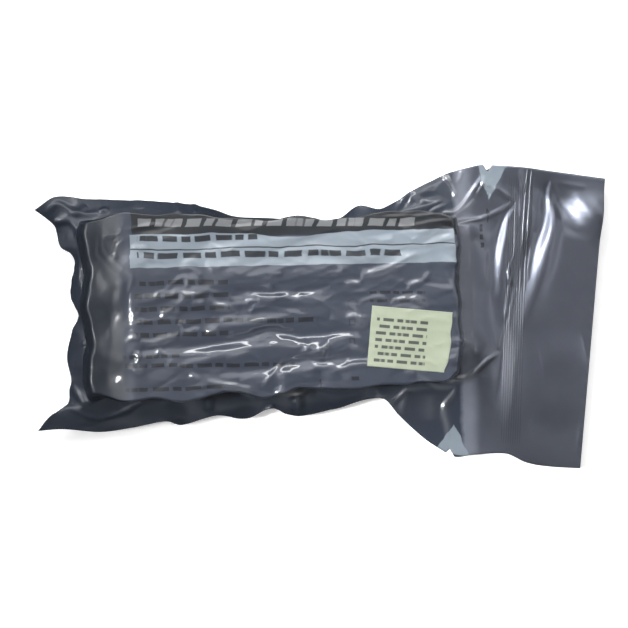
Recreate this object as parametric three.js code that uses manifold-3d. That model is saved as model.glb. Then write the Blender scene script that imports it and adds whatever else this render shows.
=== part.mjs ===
// A wide emergency trauma bandage in its vacuum-packed pouch, lying flat, in millimetres with +Z up.
// Two sheets of film are sealed together round a folded dressing. The seal makes a ruffled margin on
// three sides, with an ear at each corner, and a flat tail with tear notches on the fourth. +X runs
// along the dressing towards the tail. The origin is under the middle of the pouch, on the surface.
import * as THREE from "three";
import { mergeVertices } from "three/addons/utils/BufferGeometryUtils.js";
import Module from "manifold-3d";

const wasm = await Module();
wasm.setup();

// Driving sizes. The hollow is the room between the two films that the dressing fills.
const hollowLength = 158.8;
const hollowWidthAtEnd = 73.5;
const hollowWidthAtTail = 64.8;
const packHeight = 30;
const seamHeight = 13;
const sealMargin = 10;
const flareLength = 38;
const tailLength = 50;
const tailWidth = 119;
// The tail lies off the dressing's axis, drifts further on the way out, and has a slanted end.
const tailShift = 6.5;
const tailDrift = 7;
const tailSlant = 7.2;
const filmThickness = 0.5;
const seamGap = 0.3;
const dressingGap = 0.3;
const endStepDepth = 3;
const sealRelief = 0.3;
const notchWidth = 3.4;
const notchDepth = 3.2;
const labelLength = 33.5;
const labelWidth = 25;
const labelThickness = 0.4;
const labelGap = 0.3;
const labelTurn = THREE.MathUtils.degToRad(-7);

// How far inside its foot each wall of the hollow reaches full height, as shares of the pack's height.
const wallRun = { end: 0.32, tail: 0.42, low: 0.32, high: 0.16 };
const wallRoundness = 1.7;
// Where the high margin is folded under, the hollow's foot is drawn in by a share of the margin.
const tuck = { from: 0.3, to: 0.7, fade: 0.08, depth: 0.25 };

// The film's outer edge. Along is a share of the hollow's length before the flare on the low and
// high sides, from the end, and of its width on the end side, from low to high. Out, how far the edge
// lies outside the hollow's foot, and drop, how far it hangs below the seam, are shares of the margin.
const lowEdge = [
  { along: -0.085, out: 1.16, drop: 0.34 },
  { along: 0.039, out: 1.37, drop: 0.62 },
  { along: 0.145, out: 1.28, drop: 0.55 },
  { along: 0.263, out: 1.11, drop: 0.3 },
  { along: 0.315, out: 1.29, drop: 0.58 },
  { along: 0.434, out: 1.01, drop: 0.4 },
  { along: 0.539, out: 1.19, drop: 0.66 },
  { along: 0.626, out: 0.85, drop: 0.26 },
  { along: 0.67, out: 1.11, drop: 0.5 },
  { along: 0.723, out: 1.23, drop: 0.68 },
  { along: 0.815, out: 1.09, drop: 0.6 },
  { along: 0.894, out: 0.87, drop: 0.5 },
  { along: 0.96, out: 0.73, drop: 0.3 },
];
const highEdge = [
  { along: -0.085, out: 0.96, drop: 0.2 },
  { along: 0.024, out: 0.86, drop: 0.42 },
  { along: 0.131, out: 0.82, drop: 0.5 },
  { along: 0.268, out: 0.74, drop: 0.52 },
  { along: 0.375, out: 0.59, drop: 0.58 },
  { along: 0.456, out: 0.52, drop: 0.74 },
  { along: 0.517, out: 0.35, drop: 0.86 },
  { along: 0.619, out: 0.27, drop: 0.9 },
  { along: 0.836, out: 0.15, drop: 0.9 },
  { along: 0.883, out: 0.24, drop: 0.8 },
  { along: 0.946, out: 0.7, drop: 0.38 },
];
const endEdge = [
  { along: -0.081, out: 1.5, drop: 0.2 },
  { along: -0.028, out: 0.83, drop: 0.3 },
  { along: 0.055, out: 0.71, drop: 0.46 },
  { along: 0.111, out: 0.63, drop: 0.36 },
  { along: 0.251, out: 0.76, drop: 0.5 },
  { along: 0.388, out: 0.48, drop: 0.34 },
  { along: 0.466, out: 0.22, drop: 0.16 },
  { along: 0.522, out: 0.36, drop: 0.28 },
  { along: 0.579, out: 0.53, drop: 0.44 },
  { along: 0.757, out: 0.3, drop: 0.34 },
  { along: 0.818, out: 0.45, drop: 0.3 },
  { along: 0.854, out: 0.85, drop: 0.36 },
  { along: 0.938, out: 1.0, drop: 0.4 },
  { along: 0.983, out: 1.11, drop: 0.3 },
];
// The tips of the two corner ears, past the hollow's end and past its side.
const ears = {
  low: { pastEnd: 2.1, pastSide: 1.22, drop: 0.5 },
  high: { pastEnd: 1.83, pastSide: 0.475, drop: -0.1 },
};
// The film's long edges past that. Station is a share of the flare's length before the tail's root,
// where it is negative, and of the tail's length after it. Flare is how far the edge has come from
// the hollow's foot, 0, to the tail's half width, 1.
const lowTailEdge = [
  { station: -0.97, flare: 0.24, drop: 0.22 },
  { station: -0.824, flare: 0.45, drop: 0.26 },
  { station: -0.571, flare: 0.745, drop: 0.36 },
  { station: -0.382, flare: 0.905, drop: 0.44 },
  { station: -0.24, flare: 1.0, drop: 0.5 },
  { station: -0.039, flare: 0.985, drop: 0.5 },
  { station: 0.284, flare: 0.93, drop: 0.44 },
  { station: 0.472, flare: 1.005, drop: 0.62 },
  { station: 0.664, flare: 1.02, drop: 0.74 },
];
const highTailEdge = [
  { station: -0.96, flare: 0.17, drop: 0.3 },
  { station: -0.829, flare: 0.26, drop: 0.34 },
  { station: -0.563, flare: 0.56, drop: 0.2 },
  { station: -0.213, flare: 0.86, drop: 0.08 },
  { station: 0.032, flare: 0.99, drop: 0 },
  { station: 0.113, flare: 1.055, drop: 0 },
  { station: 0.206, flare: 1.07, drop: 0.04 },
  { station: 0.393, flare: 1.09, drop: 0.16 },
  { station: 0.607, flare: 1.065, drop: 0.34 },
];
const tailCornerDrop = { low: 0.9, high: 0.62 };
// A tear notch is a V in the film's edge, with its point towards the tail's axis.
const notches = [
  { station: 0.15, side: 1 },
  { station: -0.287, side: -1 },
];

// Where the lines that carry the hollow's feet on down the tail meet its open end.
const tailFootReach = 0.55;

// The end of the dressing is thinner, from the end to these shares of the hollow's length.
const endStep = { from: 0.08, to: 0.13 };
// Soft folds of the front film. From and to are [along, across]: on the pack they are shares of the
// hollow's length, from its end, and of its width, from its axis. On the tail they are a station and
// a share of the tail's half width. Width and lift are shares of the margin, and a negative lift is
// a valley.
const packFolds = [
  { from: [0.16, -0.22], to: [0.62, -0.08], width: 0.34, lift: -0.16 },
  { from: [0.2, -0.36], to: [0.7, -0.2], width: 0.3, lift: -0.12 },
  { from: [0.2, -0.29], to: [0.66, -0.14], width: 0.4, lift: 0.1 },
  { from: [0.3, 0.03], to: [0.78, 0.06], width: 0.36, lift: -0.08 },
  { from: [0.1, 0.2], to: [0.14, -0.1], width: 0.34, lift: 0.1 },
];
const tailFolds = [
  { from: [0.3, 0.86], to: [0.12, 0.1], width: 0.42, lift: 0.2 },
  { from: [0.9, 0.96], to: [0.46, -0.1], width: 0.5, lift: 0.2 },
  { from: [0.68, 0.66], to: [0.9, 0.72], width: 0.8, lift: 0.22 },
  { from: [-0.3, -0.4], to: [0.3, -0.14], width: 0.4, lift: 0.22 },
  { from: [-0.7, 0.72], to: [0.02, 0.86], width: 0.46, lift: 0.2 },
  { from: [-0.34, -0.54], to: [-0.2, -0.9], width: 0.4, lift: 0.2 },
];
// A fold fades over this share of its length past each of its ends.
const foldFade = 0.15;
// The heat seal across the tail is a low raised band between two stations, out to a share of the
// half width, and it fades over a share of the tail's length.
const sealBand = { from: 0.28, to: 0.42, reach: 0.95, fade: 0.03 };
// The middle of the label on the pack, in the same shares as the pack's folds.
const labelPlace = { along: 0.833, across: -0.228 };

// How many cells the films' grid has in each block, and how far its lines crowd towards the walls.
const cells = { end: 4, along: 34, tail: 12, low: 5, across: 14, high: 4 };
const crowding = 0.6;

const { lerp, clamp, smoothstep } = THREE.MathUtils;
const halfLength = hollowLength / 2;
// The hollow's foot is this far from its axis on the low side, which is -1, or the high side, 1.
function halfWidthAt(x, side) {
  const share = (x + halfLength) / hollowLength;
  const folded =
    smoothstep(share, tuck.from, tuck.from + tuck.fade) *
    (1 - smoothstep(share, tuck.to, tuck.to + tuck.fade));
  const drawnIn = side > 0 ? folded * tuck.depth * sealMargin : 0;
  return lerp(hollowWidthAtEnd, hollowWidthAtTail, share) / 2 - drawnIn;
}
const seamPoint = (x, y, drop) => new THREE.Vector3(x, y, seamHeight - drop * sealMargin);

// The plan of the tail, and of the flare before it. Across is a share of the tail's half width.
function tailPlan(station, across) {
  const slanted = tailLength + tailSlant * across;
  const x = halfLength + station * (station < 0 ? flareLength : slanted);
  const axisY = -tailShift - tailDrift * Math.max(station, 0);
  return new THREE.Vector2(x, axisY + (across * tailWidth) / 2);
}
// The station and the share across of a point of the plan, the other way round.
function tailShares({ x, y }) {
  const past = x - halfLength;
  const rough = past / (past < 0 ? flareLength : tailLength);
  const across = (y + tailShift + tailDrift * Math.max(rough, 0)) / (tailWidth / 2);
  const station = past < 0 ? rough : past / (tailLength + tailSlant * across);
  return { station, across };
}
function tailEdgePoint(row, side) {
  const { x, y } = tailPlan(row.station, side);
  const foot = side * halfWidthAt(Math.min(x, halfLength), side);
  return seamPoint(x, lerp(foot, y, row.flare), row.drop);
}
function sidePoint(row, side) {
  const x = lerp(-halfLength, halfLength - flareLength, row.along);
  return seamPoint(x, side * (halfWidthAt(x, side) + row.out * sealMargin), row.drop);
}
function earTip(ear, side) {
  const y = side * (hollowWidthAtEnd / 2 + ear.pastSide * sealMargin);
  return seamPoint(-halfLength - ear.pastEnd * sealMargin, y, ear.drop);
}
const tips = { low: earTip(ears.low, -1), high: earTip(ears.high, 1) };
const corners = {
  low: tailEdgePoint({ station: 1, flare: 1, drop: tailCornerDrop.low }, -1),
  high: tailEdgePoint({ station: 1, flare: 1, drop: tailCornerDrop.high }, 1),
};

// A smooth curve through points in order of one coordinate, which returns the point at a value of it.
function curveThrough(points, axis) {
  const slopes = points.map((point, k) => {
    const before = points[Math.max(k - 1, 0)];
    const after = points[Math.min(k + 1, points.length - 1)];
    return after.clone().sub(before).divideScalar(after[axis] - before[axis]);
  });
  return (value) => {
    const next = points.findIndex((point) => point[axis] >= value - 1e-9);
    const k = clamp(next - 1, 0, points.length - 2);
    const span = points[k + 1][axis] - points[k][axis];
    const t = clamp((value - points[k][axis]) / span, 0, 1);
    const rise = t * t * (3 - 2 * t);
    return points[k]
      .clone()
      .lerp(points[k + 1], rise)
      .addScaledVector(slopes[k], span * t * (1 - t) ** 2)
      .addScaledVector(slopes[k + 1], -span * t * t * (1 - t));
  };
}
const lowCurve = curveThrough(
  [
    tips.low,
    ...lowEdge.map((row) => sidePoint(row, -1)),
    ...lowTailEdge.map((row) => tailEdgePoint(row, -1)),
    corners.low,
  ],
  "x",
);
const highCurve = curveThrough(
  [
    tips.high,
    ...highEdge.map((row) => sidePoint(row, 1)),
    ...highTailEdge.map((row) => tailEdgePoint(row, 1)),
    corners.high,
  ],
  "x",
);
const endCurve = curveThrough(
  [
    tips.low,
    ...endEdge.map((row) =>
      seamPoint(
        -halfLength - row.out * sealMargin,
        lerp(-hollowWidthAtEnd, hollowWidthAtEnd, row.along) / 2,
        row.drop,
      ),
    ),
    tips.high,
  ],
  "y",
);

// The seam's surface is a quilt of three by three patches, each filled in between its four edges.
// Lines of the quilt run along the hollow's feet, so that the film's walls rise from whole lines.
const footY = hollowWidthAtEnd / 2;
const footPoint = (x, side) => seamPoint(x, side * halfWidthAt(x, side), 0);
const feet = [-1, 1].map((side) => [-1, 1].map((end) => footPoint(end * halfLength, side)));
const tailFeet = [-tailFootReach, tailFootReach].map((reach) =>
  corners.low.clone().lerp(corners.high, (1 + reach) / 2),
);
const between = (a, b) => (s) => a.clone().lerp(b, s);
const stretch = (curve, from, to) => (s) => curve(lerp(from, to, s));
// Lines along X, from low to high, and lines across, from the end to the tail, by patch.
const linesAlong = [
  [
    stretch(lowCurve, tips.low.x, -halfLength),
    stretch(lowCurve, -halfLength, halfLength),
    stretch(lowCurve, halfLength, corners.low.x),
  ],
  ...feet.map(([atEnd, atTail], k) => [
    between(endCurve(k ? footY : -footY), atEnd),
    (s) => footPoint(lerp(-halfLength, halfLength, s), k ? 1 : -1),
    between(atTail, tailFeet[k]),
  ]),
  [
    stretch(highCurve, tips.high.x, -halfLength),
    stretch(highCurve, -halfLength, halfLength),
    stretch(highCurve, halfLength, corners.high.x),
  ],
];
const linesAcross = [
  [
    stretch(endCurve, tips.low.y, -footY),
    stretch(endCurve, -footY, footY),
    stretch(endCurve, footY, tips.high.y),
  ],
  ...[0, 1].map((k) => {
    const x = k ? halfLength : -halfLength;
    return [
      between(lowCurve(x), feet[0][k]),
      between(feet[0][k], feet[1][k]),
      between(feet[1][k], highCurve(x)),
    ];
  }),
  [
    between(corners.low, tailFeet[0]),
    between(tailFeet[0], tailFeet[1]),
    between(tailFeet[1], corners.high),
  ],
];
function quiltPoint(column, row, s, t) {
  const [low, high] = [linesAlong[row][column], linesAlong[row + 1][column]];
  const [left, right] = [linesAcross[column][row], linesAcross[column + 1][row]];
  const alongLines = low(s).lerp(high(s), t);
  const acrossLines = left(t).lerp(right(t), s);
  const cornersOnly = low(0).lerp(low(1), s).lerp(high(0).lerp(high(1), s), t);
  return alongLines.add(acrossLines).sub(cornersOnly);
}

// The quilt's patch and share for each grid line, crowded towards the walls of the hollow.
function gridLines(first, middle, last) {
  const lines = [];
  for (let k = 0; k < first; k++) lines.push([0, k / first]);
  for (let k = 0; k < middle; k++) {
    const even = k / middle;
    lines.push([1, lerp(even, (1 - Math.cos(Math.PI * even)) / 2, crowding)]);
  }
  for (let k = 0; k <= last; k++) lines.push([2, k / last]);
  return lines;
}
const columns = gridLines(cells.end, cells.along, cells.tail);
const rows = gridLines(cells.low, cells.across, cells.high);
const seam = columns.map(([column, s]) => rows.map(([row, t]) => quiltPoint(column, row, s, t)));

// The share of its full height that the film has over a point of the hollow.
function wall(inside, run) {
  const short = 1 - clamp(inside / (run * packHeight), 0, 1);
  return (1 - short ** wallRoundness) ** (1 / wallRoundness);
}
function fullness({ x, y }) {
  return (
    wall(halfLength + x, wallRun.end) *
    wall(halfLength - x, wallRun.tail) *
    wall(halfWidthAt(x, -1) + y, wallRun.low) *
    wall(halfWidthAt(x, 1) - y, wallRun.high)
  );
}
// A soft ridge along the line between two points of the plan, fading out past its ends.
function ridge(point, from, to, width) {
  const run = to.clone().sub(from);
  const offset = new THREE.Vector2(point.x, point.y).sub(from);
  const share = offset.dot(run) / run.lengthSq();
  const distance = Math.abs(offset.cross(run)) / run.length();
  const fromEnds = Math.min(share, 1 - share);
  const ends = smoothstep(fromEnds, -foldFade, foldFade);
  return ends * Math.exp(-((distance / width) ** 2));
}
function foldLift(point, folds, planPoint) {
  return folds.reduce((sum, { from, to, width, lift }) => {
    const shape = ridge(point, planPoint(from), planPoint(to), width * sealMargin);
    return sum + lift * sealMargin * shape;
  }, 0);
}
const onPack = ([along, across]) =>
  new THREE.Vector2(lerp(-halfLength, halfLength, along), across * hollowWidthAtEnd);
const onTail = ([station, across]) => tailPlan(station, across);
function packRelief(point) {
  const fromEnd = (point.x + halfLength) / hollowLength;
  const lower = endStepDepth * (1 - smoothstep(fromEnd, endStep.from, endStep.to));
  return foldLift(point, packFolds, onPack) - lower;
}
function tailRelief(point) {
  const { station, across } = tailShares(point);
  const band =
    smoothstep(station, sealBand.from - sealBand.fade, sealBand.from) *
    (1 - smoothstep(station, sealBand.to, sealBand.to + sealBand.fade)) *
    (1 - smoothstep(Math.abs(across), sealBand.reach - sealBand.fade, sealBand.reach));
  return foldLift(point, tailFolds, onTail) + sealRelief * band;
}

// The way out of a grid's upper face at each point, from the cells that meet there. It is longer
// where they meet at an angle, so that a sheet keeps its thickness round a fold.
const sharpestFold = 0.4;
function waysOut(grid) {
  return grid.map((line, i) =>
    line.map((point, j) => {
      const mean = new THREE.Vector3();
      let count = 0;
      for (const [along, across] of [[1, 1], [1, -1], [-1, 1], [-1, -1]]) {
        const onward = grid[i + along]?.[j];
        const sideways = line[j + across];
        if (!onward || !sideways) continue;
        const normal = onward.clone().sub(point).cross(sideways.clone().sub(point)).normalize();
        mean.addScaledVector(normal, along * across);
        count += 1;
      }
      mean.divideScalar(count);
      return mean.divideScalar(Math.max(mean.lengthSq(), sharpestFold));
    }),
  );
}
function offsetGrid(grid, distance) {
  const ways = waysOut(grid);
  return grid.map((line, i) =>
    line.map((point, j) => point.clone().addScaledVector(ways[i][j], distance)),
  );
}
const movedUp = (point, height) => new THREE.Vector3(point.x, point.y, point.z + height);

// The two films. Each is a grid where it faces the other one, and a grid one thickness outside that.
// Both follow the seam's surface where they are sealed, and part from it over the hollow.
const full = seam.map((line) => line.map(fullness));
const sealed = seam.map((line, i) =>
  line.map((point, j) => movedUp(point, (1 - full[i][j]) * tailRelief(point))),
);
const frontInside = offsetGrid(sealed, seamGap / 2).map((line, i) =>
  line.map((point, j) => {
    const top = packHeight - filmThickness + packRelief(seam[i][j]);
    return movedUp(point, full[i][j] * (top - seamHeight));
  }),
);
const backInside = offsetGrid(sealed, -seamGap / 2).map((line, i) =>
  line.map((point, j) => movedUp(point, full[i][j] * (filmThickness - point.z))),
);
const frontOutside = offsetGrid(frontInside, filmThickness);
const backOutside = offsetGrid(backInside, -filmThickness);

// A closed geometry between an upper and a lower grid of the same size.
function sheetBetween(upper, lower) {
  const across = upper[0].length;
  const count = upper.length * across;
  const positions = [...upper.flat(), ...lower.flat()].flatMap((p) => [p.x, p.y, p.z]);
  const index = [];
  const quad = (a, b, c, d) => index.push(a, b, c, a, c, d);
  const at = (i, j) => i * across + j;
  for (let i = 0; i + 1 < upper.length; i++)
    for (let j = 0; j + 1 < across; j++) {
      const [a, b, c, d] = [at(i, j), at(i + 1, j), at(i + 1, j + 1), at(i, j + 1)];
      quad(a, b, c, d);
      // The lower face has the same diagonals, seen from below.
      index.push(count + a, count + c, count + b, count + a, count + d, count + c);
    }
  const rim = [];
  for (let i = 0; i + 1 < upper.length; i++) rim.push(at(i, 0));
  for (let j = 0; j + 1 < across; j++) rim.push(at(upper.length - 1, j));
  for (let i = upper.length - 1; i > 0; i--) rim.push(at(i, across - 1));
  for (let j = across - 1; j > 0; j--) rim.push(at(0, j));
  rim.forEach((a, k) => {
    const b = rim[(k + 1) % rim.length];
    quad(count + a, count + b, b, a);
  });
  const geometry = new THREE.BufferGeometry();
  geometry.setAttribute("position", new THREE.Float32BufferAttribute(positions, 3));
  geometry.setIndex(index);
  return geometry;
}

// Closed geometries to exact solids and back, for the cuts.
function solidFrom(geometry) {
  const bare = geometry.clone();
  bare.deleteAttribute("normal");
  bare.deleteAttribute("uv");
  const merged = mergeVertices(bare);
  return new wasm.Manifold(
    new wasm.Mesh({
      numProp: 3,
      vertProperties: new Float32Array(merged.attributes.position.array),
      triVerts: new Uint32Array(merged.index.array),
    }),
  );
}
function geometryFrom(solid) {
  const { vertProperties, triVerts } = solid.getMesh();
  const geometry = new THREE.BufferGeometry();
  geometry.setAttribute("position", new THREE.BufferAttribute(vertProperties, 3));
  geometry.setIndex(new THREE.BufferAttribute(triVerts, 1));
  geometry.computeVertexNormals();
  return geometry;
}
// An upright prism over an outline of the plan, past the top and the bottom of the pack.
function prism(outline) {
  const geometry = new THREE.ExtrudeGeometry(new THREE.Shape(outline), {
    depth: 3 * packHeight,
    bevelEnabled: false,
  });
  return solidFrom(geometry.translate(0, 0, -packHeight));
}

function notchCutter({ station, side }) {
  const curve = side > 0 ? highCurve : lowCurve;
  const { x } = tailPlan(station, side);
  const mouthY = curve(x).y;
  const tip = new THREE.Vector2(x, mouthY - side * notchDepth);
  // The sides of the V go on past the edge, so that its mouth is cut clean through.
  const flanks = [-side, side].map(
    (hand) => new THREE.Vector2(x + hand * notchWidth, mouthY + side * notchDepth),
  );
  return prism([tip, ...flanks]);
}
const cutters = notches.map(notchCutter);
function notched(geometry) {
  return geometryFrom(cutters.reduce((film, cutter) => film.subtract(cutter), solidFrom(geometry)));
}

// The dressing fills the hollow up to a small gap, from the first grid lines inside its feet.
function dressingGeometry() {
  const inner = (grid) =>
    grid
      .slice(cells.end + 1, cells.end + cells.along)
      .map((line) => line.slice(cells.low + 1, cells.low + cells.across));
  return sheetBetween(
    inner(offsetGrid(frontInside, -dressingGap)),
    inner(offsetGrid(backInside, dressingGap)),
  );
}

// The label lies on the front film, so it is cut out of a sheet that follows the film.
function labelGeometry() {
  const sheet = sheetBetween(
    offsetGrid(frontOutside, labelGap + labelThickness),
    offsetGrid(frontOutside, labelGap),
  );
  const middle = onPack([labelPlace.along, labelPlace.across]);
  const outline = [
    [-1, -1],
    [1, -1],
    [1, 1],
    [-1, 1],
  ].map(([along, across]) =>
    new THREE.Vector2((along * labelLength) / 2, (across * labelWidth) / 2)
      .rotateAround(new THREE.Vector2(), labelTurn)
      .add(middle),
  );
  return geometryFrom(solidFrom(sheet).intersect(prism(outline)));
}

const filmMaterial = new THREE.MeshStandardMaterial({
  color: 0x4a4d55,
  roughness: 0.25,
  metalness: 0.4,
});
const backMaterial = new THREE.MeshStandardMaterial({
  color: 0x3f4249,
  roughness: 0.3,
  metalness: 0.4,
});
const dressingMaterial = new THREE.MeshStandardMaterial({
  color: 0xd9d5c8,
  roughness: 0.9,
  metalness: 0,
});
const labelMaterial = new THREE.MeshStandardMaterial({
  color: 0xccd6ae,
  roughness: 0.6,
  metalness: 0,
});

function piece(name, geometry, material) {
  const mesh = new THREE.Mesh(geometry, material);
  mesh.name = name;
  return mesh;
}
const pouch = new THREE.Group();
pouch.add(
  piece("front_film", notched(sheetBetween(frontOutside, frontInside)), filmMaterial),
  piece("back_film", notched(sheetBetween(backInside, backOutside)), backMaterial),
  piece("folded_dressing", dressingGeometry(), dressingMaterial),
  piece("label", labelGeometry(), labelMaterial),
);
// The pouch is modelled round the hollow and then set over the origin.
const extent = new THREE.Box3().setFromObject(pouch);
const middle = extent.getCenter(new THREE.Vector3());
pouch.position.set(-middle.x, -middle.y, -extent.min.z);

export default pouch;
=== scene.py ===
import math
from functools import reduce

import bpy
import numpy as np
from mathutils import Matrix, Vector
from mathutils.bvhtree import BVHTree


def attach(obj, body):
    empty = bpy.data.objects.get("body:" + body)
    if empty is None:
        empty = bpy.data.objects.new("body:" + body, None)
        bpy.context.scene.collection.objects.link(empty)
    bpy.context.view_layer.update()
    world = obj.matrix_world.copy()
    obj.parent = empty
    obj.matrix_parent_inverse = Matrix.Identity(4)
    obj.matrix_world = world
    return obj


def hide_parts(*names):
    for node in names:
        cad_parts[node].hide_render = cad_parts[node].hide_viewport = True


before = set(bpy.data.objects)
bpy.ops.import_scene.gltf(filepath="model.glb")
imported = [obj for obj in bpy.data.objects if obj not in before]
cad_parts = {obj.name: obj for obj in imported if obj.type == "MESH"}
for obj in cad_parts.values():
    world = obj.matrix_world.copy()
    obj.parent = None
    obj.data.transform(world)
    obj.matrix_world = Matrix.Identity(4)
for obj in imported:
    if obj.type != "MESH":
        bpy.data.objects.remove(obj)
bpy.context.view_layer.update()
print("frame loaded")

# The pouch, in millimetres
pouch = {
    "hollowLength": 158.8,
    "widthAtEnd": 73.5,
    "widthAtTail": 64.8,
    "height": 30.0,
    "seamHeight": 13.0,
    "margin": 10.0,
    "flareLength": 38.0,
    "tailLength": 50.0,
    "tailWidth": 119.0,
    "tailShift": 6.5,
    "tailDrift": 7.0,
    "tailSlant": 7.2,
    "tailFootReach": 0.55,
    "settling": 120,  # rounds in which the sealed film goes smooth
    "tuck": (0.3, 0.7, 0.08, 0.25),  # from, to, fade, depth in margins
    "wallRun": {"end": 0.17, "tail": 0.09, "low": 0.13, "high": 0.06},  # shares of the height
    "wallRoundness": {"end": 2.1, "tail": 2.2, "low": 2.0, "high": 2.0},
    "overhang": {"low": 4.6, "high": 3.2},  # how far the top leans out over the foot
    "tailSetback": 4.8,  # how far inside the hollow's foot the film meets at the tail
    "cornerRoundness": 2.4,
    "uneven": {"end": (1.3, 31, 30), "tail": (1.3, 32, 34), "low": (1.5, 33, 42),
               "high": (0.8, 34, 36)},  # how far each wall strays, its seed and its longest wave
    "filmThickness": 0.3,
    "seamGap": 0.12,
    "origin": (-18.11, 9.93),  # from the hollow's middle to the frame's origin
}
half = pouch["hollowLength"] / 2
margin = pouch["margin"]

# Where the top leans out: from its ends, from its sides, and the power of the fullness
lean = {"nearEnd": (2, 16), "nearTail": (14, 5), "nearSide": (3, 24), "power": 1.5}

# The film's ramp beyond the wall at the tail: share of the rise, length, and where it begins
ramp = {"share": 0.42, "length": 18.0, "early": 2, "power": 1.6, "nearSide": (-1, 13), "reach": 4}

# The end of the dressing is thinner: depth and its change, shares of the length, seeds and waves
endStep = {"depth": 1.7, "change": 0.15, "swell": (36, 24), "along": (0.05, 0.14),
           "drift": 0.012, "line": (35, 30)}

# Outer edge of the film: place along, how far out of the foot, and drop below the seam.
lowEdge = [
    (-0.085, 1.16, 0.34), (0.039, 1.37, 0.62), (0.145, 1.28, 0.55), (0.263, 1.11, 0.3),
    (0.315, 1.29, 0.58), (0.434, 1.01, 0.4), (0.539, 1.19, 0.66),
    (0.626, 0.85, 0.26), (0.67, 1.11, 0.5), (0.723, 1.23, 0.68), (0.815, 1.09, 0.6),
    (0.894, 0.87, 0.5), (0.96, 0.73, 0.3),
]
highEdge = [
    (-0.085, 0.96, 0.2), (0.024, 0.86, 0.42), (0.131, 0.82, 0.5), (0.268, 0.74, 0.52),
    (0.375, 0.59, 0.58), (0.456, 0.52, 0.74), (0.517, 0.35, 0.86), (0.619, 0.27, 0.9),
    (0.836, 0.15, 0.9), (0.883, 0.24, 0.8), (0.946, 0.7, 0.38),
]
endEdge = [
    (-0.081, 1.5, 0.2), (-0.028, 0.83, 0.3), (0.055, 0.71, 0.46), (0.111, 0.63, 0.36),
    (0.251, 0.76, 0.5), (0.388, 0.48, 0.34), (0.466, 0.22, 0.16), (0.522, 0.36, 0.28),
    (0.579, 0.53, 0.44), (0.757, 0.3, 0.34), (0.818, 0.45, 0.3), (0.854, 0.85, 0.36),
    (0.938, 1.0, 0.4), (0.983, 1.11, 0.3),
]
ears = {"low": (2.1, 1.22, 0.5), "high": (1.83, 0.475, -0.1)}  # past the end, past the side, drop
lowTailEdge = [  # station, flare, drop
    (-0.97, 0.24, 0.22), (-0.824, 0.45, 0.26), (-0.571, 0.745, 0.36), (-0.382, 0.905, 0.44),
    (-0.24, 1.0, 0.5), (-0.039, 0.985, 0.5), (0.284, 0.93, 0.44), (0.472, 1.005, 0.62),
    (0.664, 1.02, 0.74),
]
highTailEdge = [
    (-0.96, 0.17, 0.3), (-0.829, 0.26, 0.34), (-0.563, 0.56, 0.2), (-0.213, 0.86, 0.08),
    (0.032, 0.99, 0), (0.113, 1.055, 0), (0.206, 1.07, 0.04), (0.393, 1.09, 0.16),
    (0.607, 1.065, 0.34),
]
tailCornerDrop = {"low": 0.9, "high": 0.62}
notches = [(0.15, 1), (-0.287, -1)]  # station and side
notchSize = {"width": 3.4, "depth": 3.2, "follow": (1, 0.72, 0.42, 0.2, 0.06)}
coarse = 3  # cells of a fine face along one cell of its plainer inner face


def mix(a, b, t):
    return a + (b - a) * t


def smoothStep(value, low, high):
    t = np.clip((value - low) / (high - low), 0, 1)
    return t * t * (3 - 2 * t)


def footHalf(x, side):
    # distance of the hollow's foot from its axis
    share = (x + half) / (2 * half)
    start, end, fade, depth = pouch["tuck"]
    folded = smoothStep(share, start, start + fade) * (1 - smoothStep(share, end, end + fade))
    drawnIn = folded * depth * margin if side > 0 else 0
    return mix(pouch["widthAtEnd"], pouch["widthAtTail"], share) / 2 - drawnIn


def seamPoint(x, y, drop):
    return (x, y, pouch["seamHeight"] - drop * margin)


def tailPlan(station, across):
    slanted = pouch["tailLength"] + pouch["tailSlant"] * across
    x = half + station * (pouch["flareLength"] if station < 0 else slanted)
    axisY = -pouch["tailShift"] - pouch["tailDrift"] * max(station, 0)
    return x, axisY + across * pouch["tailWidth"] / 2


def sidePoint(row, side):
    x = mix(-half, half - pouch["flareLength"], row[0])
    return seamPoint(x, side * (footHalf(x, side) + row[1] * margin), row[2])


def tailEdgePoint(row, side):
    x, y = tailPlan(row[0], side)
    foot = side * footHalf(min(x, half), side)
    return seamPoint(x, mix(foot, y, row[1]), row[2])


def earTip(name, side):
    pastEnd, pastSide, drop = ears[name]
    y = side * (pouch["widthAtEnd"] / 2 + pastSide * margin)
    return seamPoint(-half - pastEnd * margin, y, drop)


def curveThrough(points, axis):
    # smooth curve through points in order of one coordinate, for an array of its values
    points = np.array(points, float)
    last = len(points) - 1
    before = points[np.maximum(np.arange(last + 1) - 1, 0)]
    after = points[np.minimum(np.arange(last + 1) + 1, last)]
    slopes = (after - before) / (after[:, axis] - before[:, axis])[:, None]

    def at(values):
        values = np.atleast_1d(np.asarray(values, float))
        k = np.clip(np.searchsorted(points[:, axis], values) - 1, 0, last - 1)
        span = (points[k + 1, axis] - points[k, axis])[:, None]
        t = np.clip((values - points[k, axis])[:, None] / span, 0, 1)
        rise = t * t * (3 - 2 * t)
        curve = mix(points[k], points[k + 1], rise) + slopes[k] * span * t * (1 - t) ** 2
        return curve - slopes[k + 1] * span * t * t * (1 - t)

    return at


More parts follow.
